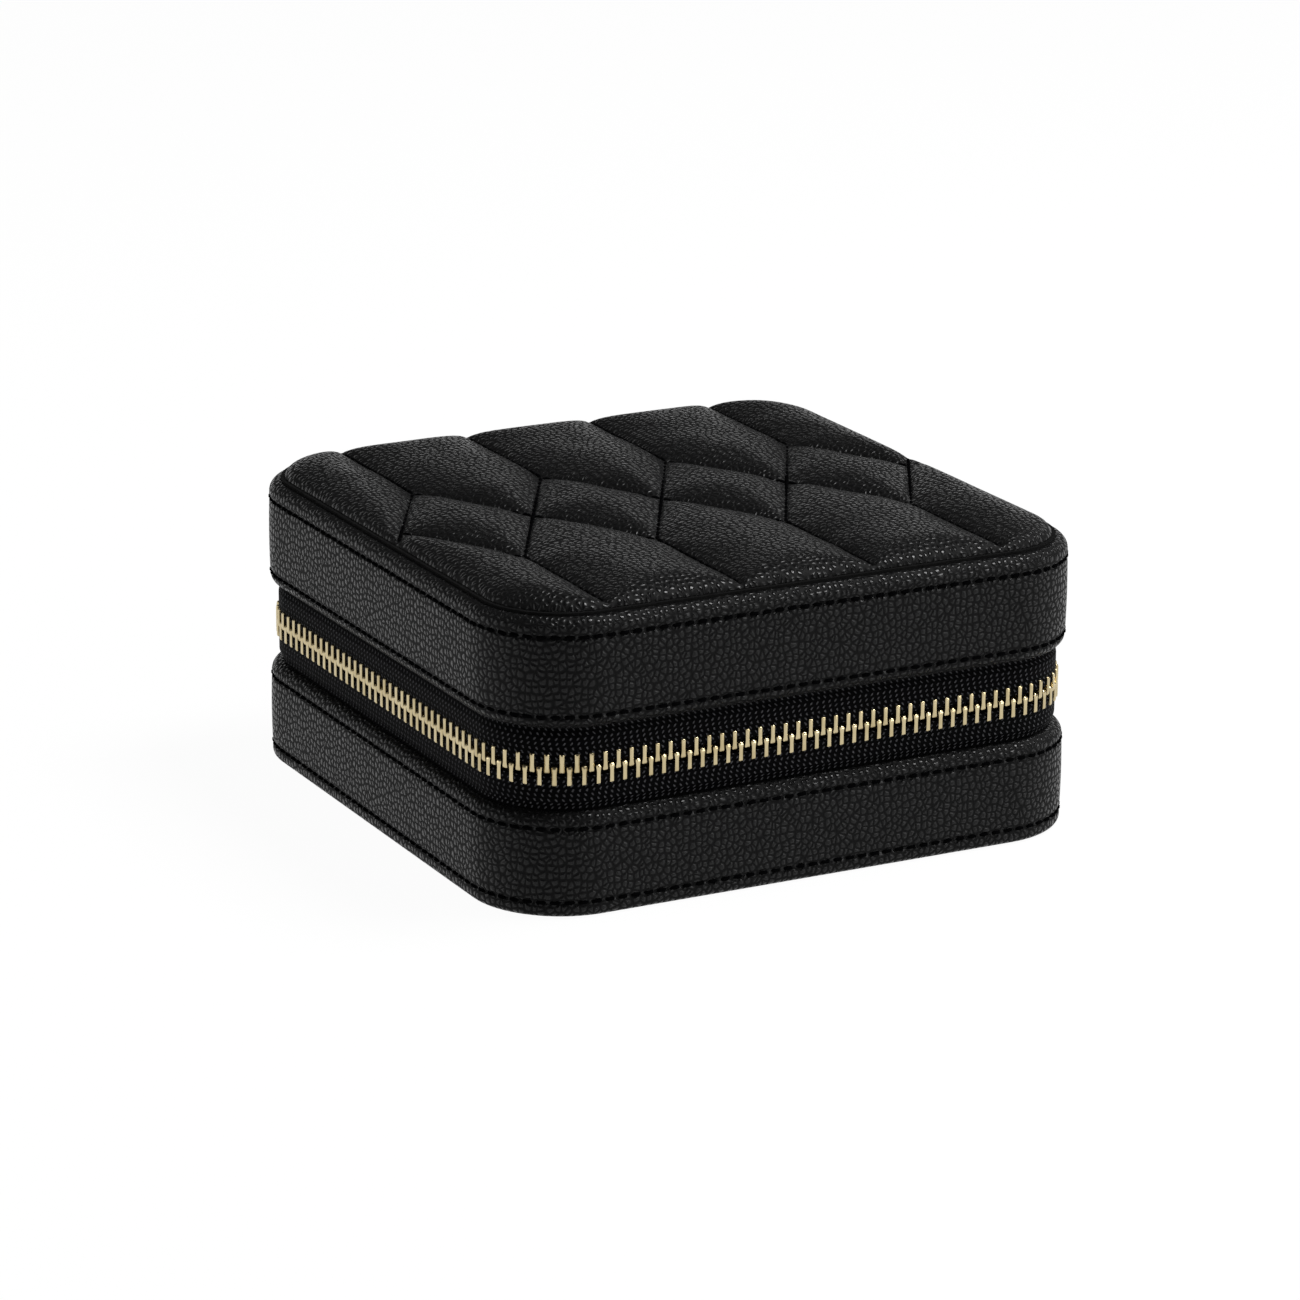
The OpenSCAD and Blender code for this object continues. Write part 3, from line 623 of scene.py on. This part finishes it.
def quilt_height(p):
    """Height of the leather over the lid board. The distances to all seams merge by a soft minimum
    into one, a circular arc over that distance gives the puff, and a second arc from the rim, merged
    with it in the same way, brings the edge down to the groove, where the leather rolls under by an
    exponential curve. The seams pull it down everywhere but at the very rim."""
    away, along = to_seams(p)
    k = crest_blend / MM
    near = np.maximum(-np.log(np.exp(-k * away).sum(0)) / k, 0)
    reach = np.clip(1 - near / puff_run, 0, 1)
    r = (puff_run ** 2 + puff_height ** 2) / (2 * puff_height)
    puff = puff_height - r + np.sqrt(r ** 2 - (puff_run * reach) ** 2)
    nearest = away.argmin(0)
    run = np.take_along_axis(along, nearest[None], 0)[0]
    tight = np.exp(-away.min(0) / seam_pull_run)
    pulled = seam_pull * tight + pucker * tight * np.cos(2 * np.pi * run / quilt_stitch)
    body = seam_height + puff
    rise = seam_height + puff_height + dome_over - lip
    r = (lip_run ** 2 + rise ** 2) / (2 * rise)
    inner = np.clip(rim_depth(p, *quilt_size), 0, lip_run)
    dome = lip + rise - r + np.sqrt(r ** 2 - (lip_run - inner) ** 2)
    dome = np.where(inner >= lip_run, lip + rise, dome) - edge_roll * np.exp(-inner / edge_roll_run)
    free = np.clip(inner / rim_hold, 0, 1)
    merged = -rim_blend * np.logaddexp(-body / rim_blend, -dome / rim_blend)
    return merged - free * pulled


def hills(p, size, height, seed):
    """Slow irregular rise and fall: random heights on a coarse grid, joined by smooth steps."""
    field = np.random.default_rng(seed).uniform(-1, 1, (64, 64))
    q = p / size + 32
    cell = np.floor(q).astype(int)
    f = q - cell
    f = f * f * (3 - 2 * f)
    i, j = cell[..., 0], cell[..., 1]
    low_row = field[i, j] * (1 - f[..., 0]) + field[i + 1, j] * f[..., 0]
    high_row = field[i, j + 1] * (1 - f[..., 0]) + field[i + 1, j + 1] * f[..., 0]
    return height * (low_row * (1 - f[..., 1]) + high_row * f[..., 1])


p = plate_grid(*quilt_size, quilt_rows)
inner = np.clip(rim_depth(p, *quilt_size) / lip_run, 0, 1)
z = lid_top + quilt_height(p) + inner * hills(p, 7 * MM, 0.14 * MM, 5)
mesh = slab("quilted_top", p, z, lid_top + rim_side, lid_top + 0.02 * MM)
# Painted shade: the quilted top's leather is the walls' leather coloured a little darker, against the
# stronger light that falls on the top.
quilted_leather = pebbled_leather(
    "quilted_leather", grain_cell, (0.0036, 0.0036, 0.0038), glossy=0.23, dull=0.65, relief=0.15 * MM
)
top = placed("quilted_top", mesh, quilted_leather, "lid")
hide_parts("quilted_leather_top")

foam_depth = 1.3 * MM
foam_inset = 1.2 * MM
foam_least = 0.12 * MM
foam_size = tuple(k - foam_inset for k in quilt_size)
p = plate_grid(*foam_size, 120)
z = lid_top + np.maximum(quilt_height(p) - foam_depth, foam_least)
foam_mesh = slab("foam_sheet", p, z, lid_top + 0.1 * MM, lid_top)

# The seams' own stitches lie in their valleys, each level with the leather under it.
places, directions = [], []
for start, end in seams:
    a, run = np.array(start), np.array(end) - np.array(start)
    count = round(np.linalg.norm(run) / quilt_stitch)
    t = (np.arange(count) + 0.5) / count
    places.append(a + t[:, None] * run)
    directions.append(np.tile(run / np.linalg.norm(run), (count, 1)))
place, direction = np.vstack(places), np.vstack(directions)
kept = rim_depth(place, *quilt_size) > rim_hold
place, direction = place[kept], direction[kept]
z = lid_top + quilt_height(place)
rise = (quilt_height(place + 0.5 * MM * direction) - quilt_height(place - 0.5 * MM * direction)) / MM
along = np.column_stack([direction, rise])
along /= np.linalg.norm(along, axis=1)[:, None]
side = np.column_stack([-direction[:, 1], direction[:, 0], np.zeros(len(place))])
rings = stitch_rings(np.column_stack([place, z]), along, np.cross(along, side), rise=0.12 * MM)
placed("quilt_stitches", lofts("quilt_stitches", rings), waxed_thread, "lid")


# ---- hinge leather ------------------------------------------------------------------------------
# A strip of the case's leather, sewn between card and lining of both walls along the back. It wraps
# round both back corners, and stands out a little in the gap between the walls.

strip_face = 2.2 * MM
strip_t = 0.7 * MM
low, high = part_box("hinge_leather")
zip_z = (low.z + high.z) / 2
sag = 0.18 * MM

height = np.linspace(low.z, high.z, 61)
crease_fold = sag * np.cos(2 * np.pi * (height - zip_z) / (lid_low - base_top)) \
    * (np.abs(height - zip_z) < (lid_low - base_top) / 2)
face = np.column_stack([strip_face + crease_fold, height])
section = np.vstack([face, (face + [strip_t, 0])[::-1]])
reach = straight_x + math.pi / 4 * corner_r
s = np.linspace(-reach, reach, 140)
centre, out = outline(np.mod(s, around(corner_r)), corner_r)
plan = centre[:, None] + (corner_r - section[None, :, :1]) * out[:, None]
rings = np.concatenate([plan, np.broadcast_to(section[None, :, 1:], plan.shape[:2] + (1,))], -1)
closed = np.vstack([section, section[:1]])
v = np.concatenate([[0], np.cumsum(np.linalg.norm(np.diff(closed, axis=0), axis=1))])
u = np.append(s, s[-1])
mesh = lofts("hinge_strip", rings[None], False, u, v, 50)
mesh.materials.append(case_leather)
strip = bpy.data.objects.new("hinge_strip", mesh)
scene.collection.objects.link(strip)
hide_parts("hinge_leather")
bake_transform(strip)


# ---- zip tapes ----------------------------------------------------------------------------------
# Two woven tapes, black, in a fine herringbone. One edge of each is sewn under its wall, and the
# teeth are clamped on the other, which stands out from the seam.

tape_t = 0.7 * MM
tape_w = 15 * MM
tape_edge = 1.25 * MM
tooth_inset = 0.6 * MM
tooth_depth = 2.4 * MM
zip_n = tooth_inset + tooth_depth / 2
zip_r = corner_r - zip_n
tape_bend = (5.4 * MM, 7.15 * MM)
row_spread = 1.6 * MM
spread_ramp = (2.5 * MM, 7.0 * MM)
chain_start = straight_x + math.pi / 4 * zip_r
chain_len = around(zip_r) - 2 * chain_start
meet_s = straight_x + math.pi / 2 * zip_r + straight_y


def row_parting(s):
    """How far a row stands off the zip's middle at s: fully between the two sliders, and down to
    nothing by a straight ramp inside each."""
    start, end = spread_ramp
    return row_spread * np.clip((end - np.abs(s - meet_s)) / (end - start), 0, 1)


def tape_rings(row, s):
    """Sections of the tape along the zip: flat in the seam, then an S curve out to the teeth."""
    w = tape_bend[1] + (tape_w - tape_bend[1]) * np.linspace(1, 0, 8)[:-1]
    f = np.linspace(0, 1, 24)
    edge = (tape_edge + row_parting(s))[:, None]
    near_w = tape_bend[1] * (1 - f) + edge * f
    w = np.concatenate([np.broadcast_to(w, (len(s), len(w))), near_w], 1)
    step = np.clip((tape_bend[1] - w) / (tape_bend[1] - tape_bend[0]), 0, 1)
    n = card_face + (zip_n - tape_t / 2 - card_face) * step * step * (3 - 2 * step)
    cord = 0.18 * MM * np.exp(-((w - edge - 0.5 * MM) / (0.5 * MM)) ** 2)
    outer = np.stack([n - cord, zip_z + row * w], -1)
    inner = np.stack([n + tape_t + cord, zip_z + row * w], -1)[:, ::-1]
    return np.concatenate([outer, inner], 1)


def woven_tape(name):
    """Herringbone: floats of yarn stand in rows, each row half a step on, and lean to one side or the
    other in each band across the tape. A float is where the product of two sine waves is high. The
    floats are coloured lighter, as painted highlights, and the yarn between them near black, darker
    than black yarn alone, as painted shade under the walls."""
    made = bpy.data.materials.new(name)
    made.use_nodes = True
    tree = made.node_tree
    shader = tree.nodes["Principled BSDF"]
    uv = node_of(tree, "ShaderNodeUVMap", uv_map="UVMap").outputs[0]
    parts = node_of(tree, "ShaderNodeSeparateXYZ")
    tree.links.new(uv, parts.inputs[0])

    def sum_of(op, a, b):
        made = node_of(tree, "ShaderNodeMath", operation=op)
        for socket, source in zip(made.inputs, (a, b)):
            if isinstance(source, (int, float)):
                socket.default_value = source
            elif source is not None:
                tree.links.new(source, socket)
        return made.outputs[0]

    u, v = parts.outputs[0], parts.outputs[1]
    band = sum_of("PINGPONG", v, 1.9 * MM)
    slant = sum_of("ADD", sum_of("MULTIPLY", band, 0.55), u)
    across = sum_of("SINE", sum_of("MULTIPLY", slant, 2 * math.pi / (1.2 * MM)), None)
    lengthwise = sum_of("SINE", sum_of("MULTIPLY", v, 2 * math.pi / (1.7 * MM)), None)
    yarn = sum_of("MULTIPLY", across, lengthwise)
    grainy = node_of(tree, "ShaderNodeTexNoise", noise_dimensions="2D", Scale=2500.0, Detail=3.0)
    tree.links.new(uv, grainy.inputs["Vector"])
    height = sum_of("ADD", sum_of("MULTIPLY", grainy.outputs[0], 0.35), ramp(tree, yarn, -0.2, 0.9, 0, 1))
    bump = node_of(tree, "ShaderNodeBump", Strength=1.0, Distance=0.14 * MM)
    tree.links.new(height, bump.inputs["Height"])
    tree.links.new(bump.outputs[0], shader.inputs["Normal"])
    # Painted light: near black between the floats, black yarn with painted shade, and lighter on the floats,
    # painted highlights.
    tone = node_of(tree, "ShaderNodeMix", data_type="RGBA")
    tone.inputs[6].default_value = (0.0003, 0.0003, 0.0005, 1)
    tone.inputs[7].default_value = (0.05, 0.05, 0.053, 1)
    tree.links.new(ramp(tree, height, 0.8, 1.25, 0, 1), tone.inputs[0])
    tree.links.new(tone.outputs[2], shader.inputs["Base Color"])
    shader.inputs["Roughness"].default_value = 0.7
    shader.inputs["Specular IOR Level"].default_value = 0.03
    return made


tape_weave = woven_tape("tape_weave")
s = np.linspace(chain_start, chain_start + chain_len, 620)
centre, out = outline(s, zip_r)
for row, name, body in ((-1, "lower_tape", "base"), (1, "upper_tape", "lid")):
    section = tape_rings(row, s)
    plan = centre[:, None] + (corner_r - section[..., :1]) * out[:, None]
    rings = np.concatenate([plan, section[..., 1:]], -1)
    first = np.vstack([section[0], section[0, :1]])
    v = np.concatenate([[0], np.cumsum(np.linalg.norm(np.diff(first, axis=0), axis=1))])
    mesh = lofts(name, rings[None], False, np.append(s, s[-1]), v, 60)
    tape = placed(name, mesh, tape_weave, body)
    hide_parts(f"{name.split('_')[0]}_zip_tape")


# ---- zip teeth ----------------------------------------------------------------------------------
# Stamped brass teeth, plated pale gold and clamped on the tape's edge. Their heads are a little wider
# than their waists and hook past the zip's middle, so the two rows lock.

tooth_pitch = 2.47 * MM
tooth_t = 1.0 * MM
stop_len = 2.6 * MM
slider_gap = 0.2 * MM
tooth_levels = np.array([-0.70, -0.62, -0.45, -0.1, 0.3, 0.8, 2.5, 2.72, 2.8]) * MM
tooth_widths = np.array([0.38, 0.64, 0.94, 0.98, 0.82, 0.74, 0.80, 0.78, 0.66]) * MM
tooth_depths = np.array([0.7, 1.1, 1.5, 1.65, 1.7, 1.7, 1.7, 1.55, 1.3]) * MM


def pale_gold(name, roughness):
    """Polished plating: a metal whose small scratches and dimples come from two noises."""
    made = bpy.data.materials.new(name)
    made.use_nodes = True
    tree = made.node_tree
    shader = tree.nodes["Principled BSDF"]
    shader.inputs["Metallic"].default_value = 1.0
    place = node_of(tree, "ShaderNodeTexCoord").outputs["Object"]
    cloud = node_of(tree, "ShaderNodeTexNoise", Scale=260.0, Detail=3.0)
    tree.links.new(place, cloud.inputs["Vector"])
    tone = node_of(tree, "ShaderNodeMix", data_type="RGBA")
    tone.inputs[6].default_value = (0.50, 0.41, 0.23, 1)
    tone.inputs[7].default_value = (0.57, 0.48, 0.29, 1)
    tree.links.new(ramp(tree, cloud.outputs[0], 0.3, 0.6, 0, 1), tone.inputs[0])
    tree.links.new(tone.outputs[2], shader.inputs["Base Color"])
    worn = ramp(tree, cloud.outputs[0], 0.3, 0.7, roughness * 1.3, roughness)
    tree.links.new(worn, shader.inputs["Roughness"])
    dents = node_of(tree, "ShaderNodeTexNoise", Scale=1800.0, Detail=1.0)
    tree.links.new(place, dents.inputs["Vector"])
    bump = node_of(tree, "ShaderNodeBump", Strength=0.25, Distance=0.05 * MM)
    tree.links.new(dents.outputs[0], bump.inputs["Height"])
    tree.links.new(bump.outputs[0], shader.inputs["Normal"])
    return made


def tooth_rings(row, s):
    """One tooth per s, a loft of eight-sided sections with cut corners: out from the tape by depth,
    along the zip by width, at the levels from its hooked head to its heel."""
    centre, out = outline(s, zip_r)
    out3 = np.column_stack([out, np.zeros(len(s))])
    along = np.column_stack([out[:, 1], -out[:, 0], np.zeros(len(s))])
    place = np.column_stack([centre + zip_r * out, zip_z + row * row_parting(s)])
    cut = 0.2 * MM
    a, b = tooth_depths[:, None] / 2, tooth_widths[:, None] / 2
    x = np.hstack([a, a, a - cut, cut - a, -a, -a, cut - a, a - cut])
    y = np.hstack([cut - b, b - cut, b, b, b - cut, cut - b, -b, -b])
    z = np.broadcast_to(row * tooth_levels[:, None], x.shape)
    return (
        place[:, None, None]
        + x[None, ..., None] * out3[:, None, None]
        + y[None, ..., None] * along[:, None, None]
        + z[None, ..., None] * np.array([0, 0, 1.0])
    )


tooth_gold = pale_gold("tooth_gold", 0.24)
corner_len = math.pi * zip_r / 2
side_start = straight_x + corner_len
side_end = side_start + 2 * straight_y
stretches = {
    "hinge_ends": lambda s: (s < side_start) | (s >= chain_start + chain_len - corner_len / 2),
    "slider_side": lambda s: (s >= side_start) & (s < side_end),
    "run": lambda s: (s >= side_end) & (s < chain_start + chain_len - corner_len / 2),
}
for row, level, body in ((-1, "lower", "base"), (1, "upper", "lid")):
    first = stop_len + slider_gap + tooth_t / 2 + (tooth_pitch / 2 if row > 0 else 0)
    last = chain_len - stop_len - slider_gap - tooth_t / 2
    s = chain_start + np.arange(first, last, tooth_pitch)
    for stretch, inside in stretches.items():
        name = f"{level}_teeth_on_{stretch}"
        mesh = lofts(name, tooth_rings(row, s[inside(s)]), crease=40)
        teeth = placed(name, mesh, tooth_gold, body)
        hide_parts(f"{level}_teeth_{stretch}")


# ---- stops, sliders and pulls -------------------------------------------------------------------
# Cast and stamped metal parts keep their worked-out shape, with their edges broken as a tumbled
# casting's are.


def eased(name, node, width, material, body, segments=2):
    """Copy of a CAD node with its corners merged, its flat faces made whole and its sharp edges
    rounded by width."""
    shape = bmesh.new()
    shape.from_mesh(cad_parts[node].data)
    bmesh.ops.remove_doubles(shape, verts=shape.verts, dist=0.002 * MM)
    bmesh.ops.dissolve_limit(
        shape, angle_limit=math.radians(1), verts=shape.verts, edges=shape.edges
    )
    sharp = [e for e in shape.edges if e.is_manifold and e.calc_face_angle(0) > math.radians(25)]
    bmesh.ops.bevel(
        shape, geom=sharp, offset=width, segments=segments, profile=0.5, affect="EDGES",
        clamp_overlap=True, miter_outer="ARC",
    )
    mesh = bpy.data.meshes.new(name)
    shape.to_mesh(mesh)
    shape.free()
    piece = placed(name, outward(mesh, 35), material, body)
    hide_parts(node)
    return piece


slider_gold = pale_gold("slider_gold", 0.2)
eased("end_stops", "zip_bottom_stops", 0.15 * MM, tooth_gold, "base")
for end in ("front", "back"):
    eased(f"{end}_slider_body", f"{end}_slider", 0.14 * MM, slider_gold, f"{end}_zip_slider")
    eased(f"{end}_pull_tab", f"{end}_pull", 0.22 * MM, slider_gold, f"{end}_zip_pull")


# ---- lining, walls and pads inside --------------------------------------------------------------
# Short-pile velour over card and foam: the wall linings, the raised inner wall, the cross wall, the
# dividers, the floor and ceiling pads, and the frame round the mirror.


def velour(name, colour):
    """Short pile: a fine noise of tufts lifts the surface, a slow one brushes it lighter and darker,
    and the sheen catches light along the edges."""
    made = bpy.data.materials.new(name)
    made.use_nodes = True
    tree = made.node_tree
    shader = tree.nodes["Principled BSDF"]
    place = node_of(tree, "ShaderNodeTexCoord").outputs["Object"]
    tufts = node_of(tree, "ShaderNodeTexNoise", Scale=4200.0, Detail=2.0)
    brushed = node_of(tree, "ShaderNodeTexNoise", Scale=90.0, Detail=2.0)
    for noise in (tufts, brushed):
        tree.links.new(place, noise.inputs["Vector"])
    tone = node_of(tree, "ShaderNodeMix", data_type="RGBA")
    tone.inputs[6].default_value = (*(0.65 * c for c in colour), 1)
    tone.inputs[7].default_value = (*(1.3 * c for c in colour), 1)
    tree.links.new(ramp(tree, brushed.outputs[0], 0.3, 0.7, 0, 1), tone.inputs[0])
    tree.links.new(tone.outputs[2], shader.inputs["Base Color"])
    bump = node_of(tree, "ShaderNodeBump", Strength=0.7, Distance=0.12 * MM)
    tree.links.new(tufts.outputs[0], bump.inputs["Height"])
    tree.links.new(bump.outputs[0], shader.inputs["Normal"])
    shader.inputs["Roughness"].default_value = 0.95
    shader.inputs["Specular IOR Level"].default_value = 0.1
    shader.inputs["Sheen Weight"].default_value = 0.35
    shader.inputs["Sheen Roughness"].default_value = 0.4
    shader.inputs["Sheen Tint"].default_value = (0.8, 0.78, 0.8, 1)
    return made


lining_pile = velour("lining_pile", (0.030, 0.028, 0.030))
for node, width, body in (
    ("base_wall_lining", 0.3, "base"),
    ("inner_wall", 0.7, "base"),
    ("cross_wall", 0.9, "base"),
    ("dividers", 0.8, "base"),
    ("lid_wall_lining", 0.3, "lid"),
    ("mirror_frame", 0.4, "lid"),
):
    eased(f"{node}_pile", node, width * MM, lining_pile, body, 4)

for node, name, body, down in (
    ("base_floor_pad", "floor_cushion", "base", False),
    ("lid_ceiling_pad", "ceiling_cushion", "lid", True),
):
    low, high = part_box(node)
    size = (high.x, high.y, corner_r - (half_w - high.x))
    p = plate_grid(*size, 110)
    soft_edge = 0.8 * MM * np.exp(-rim_depth(p, *size) / (0.9 * MM))
    z = np.full(p.shape[:2], high.z) - soft_edge + hills(p, 9 * MM, 0.08 * MM, 11)
    mesh = slab(name, p, z, high.z - 0.9 * MM, low.z)
    if down:
        mesh.transform(Matrix.Translation((0, 0, low.z + high.z)) @ Matrix.Scale(-1, 4, (0, 0, 1)))
        mesh = outward(mesh, 50)
    pad = placed(name, mesh, lining_pile, body)
    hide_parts(node)


# ---- ring rolls ---------------------------------------------------------------------------------
# Foam rolls in velour sleeves, side by side behind the cross wall. Rings stand in the slits between
# them.

roll_count = 4
roll_gap = 0.3 * MM
roll_foot = 0.4 * MM
low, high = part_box("ring_rolls")
roll_pitch = (high.y - low.y + roll_gap) / roll_count
roll_w = roll_pitch - roll_gap
roll_h = high.z - low.z
inner_r = corner_r - (half_w - high.x)


def roll_rings(y):
    """One roll at y: a half round on an upright, carried from side to side. Its ends are drawn in by
    a quarter ellipse and it follows the case's corner behind it."""
    t = np.linspace(-1, 1, 90)
    a = np.linspace(0, np.pi, 25)
    arch_y = -roll_w / 2 * np.cos(a)
    arch_z = roll_h - roll_w / 2 + roll_w / 2 * np.sin(a)
    yy = np.concatenate([[-roll_w / 2] * 4, arch_y, [roll_w / 2] * 4])
    upright = np.linspace(roll_foot, arch_z[0], 5)[:-1]
    zz = np.concatenate([upright, arch_z, upright[::-1]])
    over = np.maximum(y + roll_w / 2 - (high.y - inner_r), 0)
    half = high.x - inner_r + math.sqrt(inner_r ** 2 - over ** 2) - 0.1 * MM
    x = half * t
    draw = np.sqrt(1 - np.clip((np.abs(x) - half + 3 * MM) / (3 * MM), 0, 0.97) ** 2)
    lump = 1 + 0.006 * np.sin(x / (6 * MM) + 40 * y / high.y)
    ring = np.stack([
        np.broadcast_to(x[:, None], (len(x), len(yy))),
        y + yy[None] * (0.82 + 0.18 * draw)[:, None],
        low.z + zz[None] * (0.9 + 0.1 * draw * lump)[:, None],
    ], -1)
    return ring


rings = np.array([roll_rings(low.y + roll_w / 2 + k * roll_pitch) for k in range(roll_count)])
rolls = placed("ring_cushions", lofts("ring_cushions", rings, crease=70), lining_pile, "base")
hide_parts("ring_rolls")


# ---- mirror, boards and foam --------------------------------------------------------------------
# The mirror is silvered glass. The boards and the wall cards are grey board coloured near black, as
# painted shade where they show in the groove, and the foam under the quilting is covered all over.

silver = bpy.data.materials.new("silver_glass")
silver.use_nodes = True
tree = silver.node_tree
shader = tree.nodes["Principled BSDF"]
shader.inputs["Metallic"].default_value = 1.0
shader.inputs["Base Color"].default_value = (0.90, 0.91, 0.91, 1)
haze = node_of(tree, "ShaderNodeTexNoise", Scale=60.0, Detail=2.0)
tree.links.new(node_of(tree, "ShaderNodeTexCoord").outputs["Object"], haze.inputs["Vector"])
tree.links.new(ramp(tree, haze.outputs[0], 0.4, 0.8, 0.015, 0.05), shader.inputs["Roughness"])
eased("mirror_plate", "mirror_glass", 0.3 * MM, silver, "lid")


def fibrous(name, dark, light, grain):
    """Board or foam: a noise of fibres or pores tints and roughens a matt surface."""
    made = bpy.data.materials.new(name)
    made.use_nodes = True
    tree = made.node_tree
    shader = tree.nodes["Principled BSDF"]
    noise = node_of(tree, "ShaderNodeTexNoise", Scale=grain, Detail=4.0)
    tree.links.new(node_of(tree, "ShaderNodeTexCoord").outputs["Object"], noise.inputs["Vector"])
    tone = node_of(tree, "ShaderNodeMix", data_type="RGBA")
    tone.inputs[6].default_value = (*dark, 1)
    tone.inputs[7].default_value = (*light, 1)
    tree.links.new(noise.outputs[0], tone.inputs[0])
    tree.links.new(tone.outputs[2], shader.inputs["Base Color"])
    bump = node_of(tree, "ShaderNodeBump", Strength=0.4, Distance=0.05 * MM)
    tree.links.new(noise.outputs[0], bump.inputs["Height"])
    tree.links.new(bump.outputs[0], shader.inputs["Normal"])
    shader.inputs["Roughness"].default_value = 0.9
    shader.inputs["Specular IOR Level"].default_value = 0.03
    return made


# Painted shade: the boards are coloured near black so that where they show in the groove and gaps they read
# as shade.
board_painted_shade = fibrous("board_painted_shade", (0.003, 0.003, 0.003), (0.008, 0.008, 0.008), 900.0)
foam_pores = fibrous("foam_pores", (0.10, 0.10, 0.10), (0.35, 0.35, 0.35), 1500.0)
for node in ("base_wall_card", "base_board", "lid_wall_card", "lid_board"):
    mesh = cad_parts[node].data
    mesh.materials.clear()
    mesh.materials.append(board_painted_shade)
foam = placed("foam_sheet", foam_mesh, foam_pores, "lid")
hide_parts("quilt_foam")
